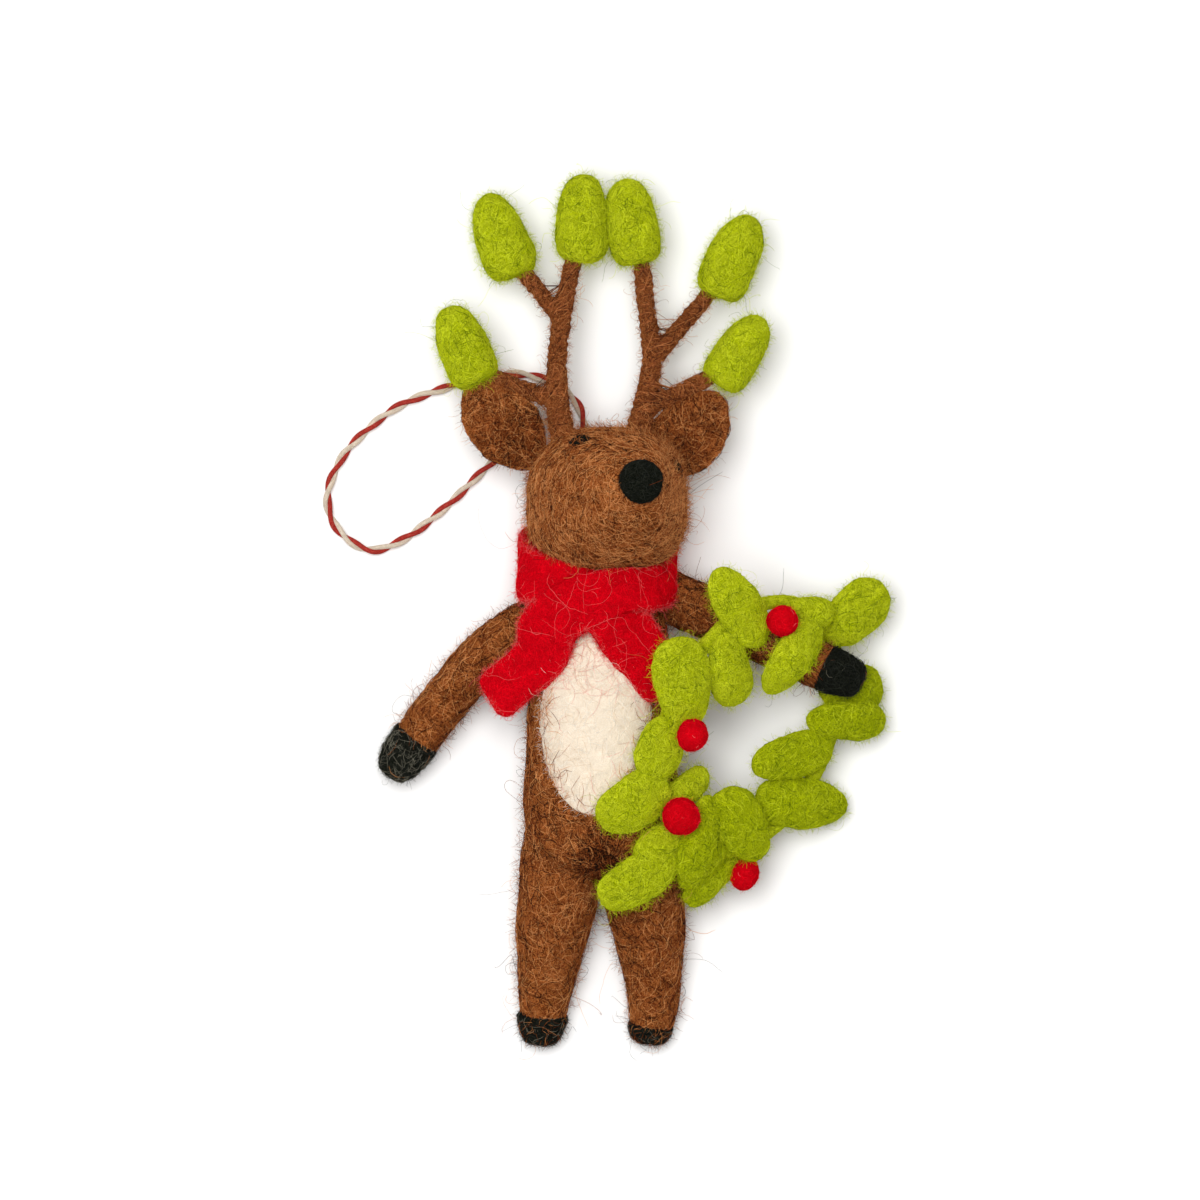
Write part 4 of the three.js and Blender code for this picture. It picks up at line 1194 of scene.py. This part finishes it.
def tip_shape(form, length):
    """The black wool over a limb's end: the limb's own skin, a little prouder, closed inside the limb."""
    start = 1 - length / form.spine.length
    closing = 0.12  # the share of the rings that closes it

    def place(form, share, turn):
        if share < closing:
            centre = form.spine.at(start)[0]
            return centre.lerp(form.at(start, turn), share / closing)
        along = start + (1 - start) * (share - closing) / (1 - closing)
        return form.at(along, turn, TIP_PROUD)

    return shape_ball(form, 40, 36, place)


left_aim = Vector((math.cos(math.radians(LEFT_ARM_TURN)), math.sin(math.radians(LEFT_ARM_TURN)), LEFT_ARM_CLIMB_SHARE))
left_aim.normalize()
hip_line = TORSO_RISE - HIP_DOWN_SHARE * TORSO_LENGTH
hip_spread = HIP_SPREAD_SHARE * TORSO_HALF_WIDTH
limb_forms = {
    "right_arm": limb_form(right_shoulder, RIGHT_ARM_SHARES, ARM_LENGTH, ARM_RADIUS, ARM_TAPER_SHARES),
    "left_arm": limb_form(
        left_shoulder, [left_aim * share for share in (0, 0.33, 0.67, 1)], ARM_LENGTH, ARM_RADIUS, ARM_TAPER_SHARES,
    ),
}
for side, sign, shares in (("right", -1, RIGHT_LEG_SHARES), ("left", 1, LEFT_LEG_SHARES)):
    hip = Vector((sign * hip_spread, hip_line, HIP_HEIGHT))
    route = [(across, along, -ANKLE_DROP_SHARE * abs(along)) for across, along in shares]
    limb_forms[f"{side}_leg"] = limb_form(hip, route, LEG_LENGTH, LEG_RADIUS, LEG_TAPER_SHARES)

limbs, limb_ends = {}, {}
for number, (name, form) in enumerate(limb_forms.items()):
    side, kind = name.split("_")
    end_name, end_lengths = (f"{side}_hand", HAND_LENGTHS) if kind == "arm" else (f"{side}_hoof", HOOF_LENGTHS)
    if kind == "arm":
        limb_shape = felt_ball(form, 48, 64)
        rumple(limb_shape, 0.3, 6.0, 31 + number)
        press_flat(limb_shape, TIP_PROUD / 2)
        limbs[name] = dress(new_piece(f"{name}_wool", limb_shape, brown_wool), "brown_wool", name)
    end_shape = tip_shape(form, end_lengths[side])
    rumple(end_shape, 0.3, 6.0, 31 + number)
    press_flat(end_shape)
    limb_ends[end_name] = dress(new_piece(f"{end_name}_wool", end_shape, black_wool), "black_wool", end_name)

# The torso and the legs are one skin, halved down the middle, with each half's hip noted in bends

body_shapes = [torso_shape, *[felt_ball(limb_forms[f"{side}_leg"], 48, 72) for side in ("right", "left")]]
whole_body = felted_together("body", body_shapes, 0.55, 12, brown_wool)
rumple_piece(whole_body, 0.3, 8.0, 1, TIP_PROUD / 2)
body_middle = TO_FRAME @ Vector()
halves = {}
for side, sign in (("right", -1), ("left", 1)):
    half_shape = bmesh.new()
    half_shape.from_mesh(whole_body.data)
    kept = half_shape.verts[:] + half_shape.edges[:] + half_shape.faces[:]
    bmesh.ops.bisect_plane(
        half_shape, geom=kept, plane_co=body_middle, plane_no=X_AXIS * sign, clear_inner=True,
    )
    rim = [edge for edge in half_shape.edges if edge.is_boundary]
    for edge in rim:
        edge.smooth = False
    bmesh.ops.holes_fill(half_shape, edges=rim)
    half_mesh = bpy.data.meshes.new(f"{side}_body_wool")
    half_shape.to_mesh(half_mesh)
    half_shape.free()
    half_mesh.materials.append(brown_wool)
    half = bpy.data.objects.new(f"{side}_body_wool", half_mesh)
    bpy.context.scene.collection.objects.link(half)
    hip = Vector((sign * hip_spread, hip_line, HIP_HEIGHT))
    start, end = (TO_FRAME @ (hip + Y_AXIS * reach) for reach in (HIP_BEND, -HIP_BEND))
    bends[half.name] = ("deer", f"{side}_leg_body", start, end)
    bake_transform(half)
    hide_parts("torso", f"{side}_leg")
    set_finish(half, "brown_wool")
    halves[side] = half
bpy.data.objects.remove(whole_body)

# Scarf, one strip that starts at one tail, goes round the neck and ends in the other

scarf_spine = Spine([place for place, _, _ in SCARF_ROUTE])
key_shares = []
for place, _, _ in SCARF_ROUTE:
    nearest = min(range(len(scarf_spine.line)), key=lambda i: (scarf_spine.line[i] - Vector(place)).length)
    key_shares.append(scarf_spine.reach[nearest] / scarf_spine.length)


def scarf_key(share):
    """The way that the strip faces and its half width at a share of its length."""
    i = min(max(bisect.bisect_right(key_shares, share) - 1, 0), len(key_shares) - 2)
    t = (share - key_shares[i]) / (key_shares[i + 1] - key_shares[i])
    t = t * t * (3 - 2 * t)
    (_, before, wide), (_, after, wide_after) = SCARF_ROUTE[i], SCARF_ROUTE[i + 1]
    return Vector(before).normalized().lerp(Vector(after).normalized(), t), wide + (wide_after - wide) * t


scarf_shape = bmesh.new()
bmesh.ops.create_grid(scarf_shape, x_segments=200, y_segments=14, size=1)
for vert in scarf_shape.verts:
    share, across = (vert.co.x + 1) / 2, vert.co.y
    place, along = scarf_spine.at(share)
    facing, half_width = scarf_key(share)
    facing = (facing - along * facing.dot(along)).normalized()
    half_width *= 1 + 0.09 * noise.noise(Vector((share * 22, math.copysign(5, across), 8)))
    half_width *= max(1 - abs(2 * share - 1) ** SCARF_END_POWER, SCARF_END_SHARE) ** (1 / 3)
    wave = SCARF_WAVE * noise.noise(Vector((share * 15, across * 0.9, 3))) - 0.4 * across * across
    end_wave = 0.9 * noise.noise(Vector((across * 1.6, 4 * round(share), 1))) * abs(2 * share - 1) ** 20
    vert.co = place + along.cross(facing) * across * half_width + facing * wave + along * end_wave
loose_scarf = new_piece("strip", scarf_shape, scarf_felt)
thickness = loose_scarf.modifiers.new("thickness", "SOLIDIFY")
thickness.thickness = SCARF_THICK * MM
thickness.offset = 0
settle(loose_scarf)
strip = bmesh.new()
strip.from_mesh(loose_scarf.data)
bmesh.ops.transform(strip, matrix=FROM_FRAME, verts=strip.verts)
bpy.data.objects.remove(loose_scarf)
scarf = felted_together("scarf_felt", [strip], 0.42, 12, scarf_felt)
rumple_piece(scarf, 0.25, 3.5, 9)
dress(scarf, "red_felt", "scarf")

# Wreath

arm_place = left_shoulder + left_aim * WREATH_ON_ARM_SHARE * ARM_LENGTH
wreath_turn = Matrix.Rotation(math.radians(WREATH_TURN), 4, "Z") @ Matrix.Rotation(math.radians(WREATH_TILT), 4, "Y")
hang = Vector((WREATH_HANG_SHARES[0] * RING_HALF_WIDTH, WREATH_HANG_SHARES[1] * RING_HALF_HEIGHT, 0))
WREATH = Matrix.Translation(arm_place - wreath_turn @ hang) @ wreath_turn
upright = wreath_turn.inverted() @ Z_AXIS


def on_ring(place_shares, lift):
    middle = Vector((place_shares[0] * RING_HALF_WIDTH, place_shares[1] * RING_HALF_HEIGHT, 0))
    return middle + upright * lift * LEAF_HALF_THICK


ring_points = []
for step in range(120):
    turn = 2 * math.pi * step / 120
    ring_points.append(WREATH @ Vector((RING_HALF_WIDTH * math.cos(turn), RING_HALF_HEIGHT * math.sin(turn), 0)))
ring_mesh = wound_tube("wreath_ring_felt", ring_points, RING_TUBE, 4, closed=True)
ring_mesh.materials.append(green_felt)
ring = bpy.data.objects.new("wreath_ring_felt", ring_mesh)
bpy.context.scene.collection.objects.link(ring)
dress(ring, "green_felt", "wreath_ring")

leaves = []
for number, (place_shares, turn, (long, wide), lifts) in enumerate(LEAVES):
    aim = Vector((math.cos(math.radians(turn)), math.sin(math.radians(turn)), 0))
    ends = [on_ring(place_shares, lift) + aim * end * LEAF_LENGTH * long / 2 for end, lift in zip((-1, 0, 1), lifts, strict=True)]
    ends[0] += Vector((*LEAF_ROOT_SHIFTS.get(number + 1, (0, 0)), 0))
    root_share, tip_share = LEAF_ENDS.get(number + 1, (1.0, 1.0))
    tapers = [
        taper * (root_share + (tip_share - root_share) * i / (len(LEAF_TAPER_SHARES) - 1))
        for i, taper in enumerate(LEAF_TAPER_SHARES)
    ]
    leaf_form = Form(ends, LEAF_HALF_WIDTH * wide, LEAF_HALF_THICK, tapers, fullness=(2.6, 2.5))
    leaf_shape = felt_ball(leaf_form, 44, 40)
    rumple(leaf_shape, 0.55, 5.2, 41 + number)
    bmesh.ops.transform(leaf_shape, matrix=WREATH, verts=leaf_shape.verts)
    press_flat(leaf_shape)
    name = f"wreath_leaf_{number + 1}"
    # The shaded leaves take the darker felt, as painted shade.
    finish = shaded_felt if number + 1 in SHADED_LEAVES else green_felt
    leaves.append(dress(new_piece(f"{name}_felt", leaf_shape, finish), "green_felt", name))

berries = []
for number, (place_shares, lift, size, stretch) in enumerate(BERRIES):
    berry_shape = bmesh.new()
    bmesh.ops.create_uvsphere(berry_shape, u_segments=32, v_segments=24, radius=BERRY_RADIUS * size)
    bmesh.ops.scale(berry_shape, vec=(1 / math.sqrt(stretch), stretch, 1), verts=berry_shape.verts)
    rumple(berry_shape, 0.22, 2.4, 71 + number)
    bmesh.ops.translate(berry_shape, vec=on_ring(place_shares, lift), verts=berry_shape.verts)
    bmesh.ops.transform(berry_shape, matrix=WREATH, verts=berry_shape.verts)
    name = f"wreath_berry_{number + 1}"
    berries.append(dress(new_piece(f"{name}_felt", berry_shape, berry_felt), "red_felt", name))

for side in ("right", "left"):
    frame["nodes"][f"{side}_antler_wire"].data.materials.clear()
    frame["nodes"][f"{side}_antler_wire"].data.materials.append(steel)

# Coats of loose hairs


def swirl(place, normal, chance):
    """Combs the head's hairs round the muzzle."""
    heading = normal.cross(place - TO_FRAME @ nose_spot)
    if heading.length < TINY:
        return any_way(place, normal, chance)
    heading.normalize()
    heading.rotate(Quaternion(normal, chance.gauss(0, 0.45)))
    return heading


all_branches = [spine for spines in branch_spines.values() for spine in spines]


def wind(place, normal, chance):
    """Winds hairs round the nearest branch."""
    drawn = FROM_FRAME @ place
    spots = ((spine, i) for spine in all_branches for i in range(0, len(spine.line) - 1, 6))
    spine, i = min(spots, key=lambda spot: (spot[0].line[spot[1]] - drawn).length)
    heading = (spine.line[i + 1] - spine.line[i]).cross(normal)
    if heading.length < TINY:
        return any_way(place, normal, chance)
    heading.normalize()
    heading.rotate(Quaternion(normal, WIND_PITCH / (2 * math.pi * BEAM_RADIUS) + chance.gauss(0, 0.1)))
    return heading


scarf_line = KDTree(len(scarf_spine.line))
for number, point in enumerate(scarf_spine.line):
    scarf_line.insert(point, number)
scarf_line.balance()


def on_scarf_edge(drawn):
    """Whether a place lies at the rim of the strip or at its ends."""
    number = scarf_line.find(drawn)[1]
    share = scarf_spine.reach[number] / scarf_spine.length
    place, along = scarf_spine.at(share)
    facing, half_width = scarf_key(share)
    across = abs((drawn - place).dot(along.cross(facing).normalized())) / half_width
    return across > SCARF_RIM_SHARE or min(share, 1 - share) < SCARF_THICK / scarf_spine.length / 2


def belly_edge(drawn):
    """How far out a place lies on the belly patch: 0 in its middle and 1 at its rim."""
    side = (drawn.x - BELLY_MIDDLE[0]) / BELLY_HALF_WIDTH
    rise = (drawn.y - BELLY_MIDDLE[1]) / BELLY_HALF_HEIGHT
    return math.hypot(side, rise)


HEAD_MIX = (0.34, 0.3, 0.16, 0.2)
BROWN_MIX = (0.21, 0.27, 0.26, 0.26)
GREEN_MIX = (0.34, 0.28, 0.16, 0.22)
# Darker hairs for the shaded leaves, as painted shade.
SHADED_GREEN_MIX = (0.16, 0.26, 0.3, 0.28)
# The left arm's hairs are darker: painted shade where the head and the scarf shade it.
ARM_MIXES_WITH_SHADE = {"right_arm": BROWN_MIX, "left_arm": (0.1, 0.18, 0.32, 0.4)}
BLACK_MIXES = {
    "right_hand": (0.46, 0.34, 0.2), "left_hand": (0.02, 0.34, 0.64),
    "right_hoof": (0.14, 0.42, 0.44), "left_hoof": (0.14, 0.42, 0.44),
}
LIT_CHEEK_SHARE = 0.72  # of the head's half width, past which its left cheek has pale fuzz as a painted highlight on the side that looks lit
DARK_REACH = 6.0  # how far the dark tuft between the legs reaches
FRINGES = {"right_hand": 0.06, "left_hand": 0.05, "right_hoof": 0.25, "left_hoof": 0.9}
round_the_neck = [head, *halves.values()]
grow_hairs("head_hairs", [head], "brown", HEAD_MIX, 5.0, covers=[scarf], comb=swirl, length=3.6, thick=0.105)
# Pale fuzz on the head's left side only: a painted highlight.
grow_hairs(
    "cheek_hairs", [head], "brown", (0.8, 0.15, 0.05, 0), 3.0, covers=[scarf], length=3.4, thick=0.1, fuzz=0.8,
    wanted=lambda drawn: drawn.x > HEAD_HALF_WIDTH * LIT_CHEEK_SHARE,
)
for side, half in halves.items():
    grow_hairs(
        f"{side}_body_hairs", [half], "brown", BROWN_MIX, 3.1, covers=[belly, scarf],
        wanted=lambda drawn: abs(drawn.x) > HAIR_CLEARANCE,
    )
for name, limb in limbs.items():
    hand = limb_ends[name.replace("arm", "hand")]
    grow_hairs(f"{name}_hairs", [limb], "brown", ARM_MIXES_WITH_SHADE[name], 3.6, covers=[hand])
for name, end in limb_ends.items():
    grow_hairs(f"{name}_hairs", [end], "black", BLACK_MIXES[name], 3.4, length=2.2, thick=0.09)
    grow_hairs(f"{name}_fringe_hairs", [end], "brown", BROWN_MIX, FRINGES[name], length=3.4, thick=0.075)
grow_hairs("ear_hairs", list(ears.values()), "brown", BROWN_MIX, 4.4, length=3.2, thick=0.105)
# Dark hairs round each ear's root: painted shade in the ear's cup where it meets the head.
for side, ear in ears.items():
    grow_hairs(
        f"{side}_ear_root_hairs", [ear], "brown", (0, 0.1, 0.3, 0.6), 4.0, length=3.0, fuzz=0.2,
        wanted=lambda drawn: (drawn - ear_roots[side]).length < EAR_LENGTH * 0.55,
    )
grow_hairs(
    "antler_hairs", list(antler_wool.values()), "wound", (0.24, 0.3, 0.22, 0.24), 2.8,
    comb=wind, length=6.0, thick=0.17, lift=0.05, curl=0.04, fuzz=0.0, loose=0.0,
)
grow_hairs(
    "antler_fuzz", list(antler_wool.values()), "brown", (0.3, 0.45, 0.25, 0), 5.8,
    length=2.3, thick=0.085, fuzz=0.96, loose=0.025,
)
grow_hairs(
    "bud_hairs", list(buds.values()), "green", GREEN_MIX, 5.2,
    length=2.7, thick=0.1, lift=0.12, fuzz=0.66,
)
lit_leaves = [leaf for number, leaf in enumerate(leaves) if number + 1 not in SHADED_LEAVES]
shaded_leaves = [leaf for number, leaf in enumerate(leaves) if number + 1 in SHADED_LEAVES]
for name, some_leaves, mix in (("leaf", lit_leaves, GREEN_MIX), ("deep_leaf", shaded_leaves, SHADED_GREEN_MIX)):
    grow_hairs(f"{name}_hairs", some_leaves, "green", mix, 4.4, length=2.7, thick=0.1, lift=0.12, fuzz=0.66)
grow_hairs("ring_hairs", [ring], "green", GREEN_MIX, 1.2, length=2.0, thick=0.09)
grow_hairs(
    "scarf_hairs", [scarf], "red", (0.02, 0.5, 0.48), 3.2, covers=round_the_neck,
    length=2.0, thick=0.09, lift=0.08, fuzz=0.6, loose=0.0,
)
# Fuzz on the strip's rim: real loose fibres, with their pale pink a painted highlight.
grow_hairs(
    "scarf_edge_hairs", [scarf], "red", (0.8, 0.2, 0), 8.0, covers=round_the_neck, wanted=on_scarf_edge,
    length=2.0, thick=0.09, fuzz=0.98, loose=0.02,
)
grow_hairs(
    "scarf_curls", [scarf], "red", (1, 0, 0), 0.042, covers=round_the_neck,
    length=10.0, thick=0.06, lift=0.2, curl=0.15, wander=1.6, points=16, fuzz=0.0, loose=0.04,
)
grow_hairs(
    "berry_hairs", berries, "red", (0.03, 0.5, 0.47), 2.6, length=1.4, thick=0.1, lift=0.08, fuzz=0.4, loose=0.0,
)
grow_hairs(
    "belly_hairs", [belly], "cream", (0.7, 0.27, 0.03, 0), 1.0, length=3.6, thick=0.09, lift=0.12, fuzz=0.2,
    wanted=lambda drawn: drawn.z > TORSO_HALF_DEPTH,
)
grow_hairs(
    "belly_edge_hairs", [belly], "cream", (0.5, 0.4, 0.05, 0.05), 4.0, length=2.6, thick=0.09, lift=0.2, fuzz=0.6,
    wanted=lambda drawn: belly_edge(drawn) > 0.9 and drawn.z > TORSO_HALF_DEPTH,
)
grow_hairs(
    "belly_rim_hairs", [belly], "brown", (0.45, 0.4, 0.15, 0), 2.0, length=3.6, thick=0.09,
    wanted=lambda drawn: belly_edge(drawn) > 0.86 and drawn.z > TORSO_HALF_DEPTH,
)
grow_hairs(
    "belly_rose_hairs", [belly], "cream", (0.1, 0.1, 0.8, 0), 1.0, length=5.0, thick=0.06, points=9, curl=0.25,
    wanted=lambda drawn: drawn.y > BELLY_MIDDLE[1] + BELLY_HALF_HEIGHT * 0.3 and drawn.z > TORSO_HALF_DEPTH,
)
grow_hairs(
    "face_hairs", [nose, *eyes.values()], "black", (0.0, 0.4, 0.6), 2.4,
    length=1.2, thick=0.1, lift=0.1, fuzz=0.3, loose=0.0,
)
for side, share in (("right", 0.7), ("left", 3.5)):
    grow_hairs(f"{side}_eye_fringe_hairs", [eyes[side]], "brown", BROWN_MIX, share, length=3.6, thick=0.12, lift=0.5)
for side, half in halves.items():
    grow_hairs(
        f"{side}_dark_hairs", [half], "brown", (0, 0, 0.05, 0.95), 8.0, length=3.4, thick=0.14, fuzz=0.2,
        wanted=lambda drawn: 0 < hip_line - drawn.y < DARK_REACH and abs(drawn.x) < DARK_REACH / 2 and drawn.z > DARK_REACH,
    )

# Floor, light and world

floor_shape = bmesh.new()
bmesh.ops.create_grid(floor_shape, x_segments=1, y_segments=1, size=4)
floor_mesh = bpy.data.meshes.new("floor")
floor_shape.to_mesh(floor_mesh)
floor_shape.free()
floor_material, floor_tree, floor_shader = new_material("pale_table")
floor_shader.inputs["Base Color"].default_value = (0.93, 0.925, 0.915, 1)
floor_shader.inputs["Roughness"].default_value = 0.9
floor_shader.inputs["Specular IOR Level"].default_value = 0.0
floor_mesh.materials.append(floor_material)
floor = bpy.data.objects.new("floor", floor_mesh)
floor.location.z = -0.00005
bpy.context.scene.collection.objects.link(floor)


def soft_lamp(name, place, size, power):
    data = bpy.data.lights.new(name, "AREA")
    data.shape = "DISK"
    data.size = size
    data.energy = power
    lamp = bpy.data.objects.new(name, data)
    lamp.location = place
    lamp.rotation_mode = "QUATERNION"
    lamp.rotation_quaternion = (-Vector(place)).to_track_quat("-Z", "Y")
    bpy.context.scene.collection.objects.link(lamp)


soft_lamp("top_lamp", (-0.12, 0.1, 1.0), 0.7, 10.4)

world = bpy.data.worlds.new("studio")
bpy.context.scene.world = world
world.use_nodes = True
sky_tree = world.node_tree
sky = sky_tree.nodes["Background"]
sky.inputs["Color"].default_value = (1, 1, 1, 1)
rays = new_node(sky_tree, "ShaderNodeLightPath")
seen = sum_node(sky_tree, "MAXIMUM", rays.outputs["Is Camera Ray"], rays.outputs["Is Glossy Ray"])
seen = sum_node(sky_tree, "MAXIMUM", seen, rays.outputs["Is Transmission Ray"])
level = new_node(sky_tree, "ShaderNodeMapRange")
level.inputs["To Min"].default_value = SKY_LIGHT
level.inputs["To Max"].default_value = 1.0
sky_tree.links.new(seen, level.inputs["Value"])
sky_tree.links.new(level.outputs["Result"], sky.inputs["Strength"])

bpy.context.scene.view_settings.view_transform = "Standard"
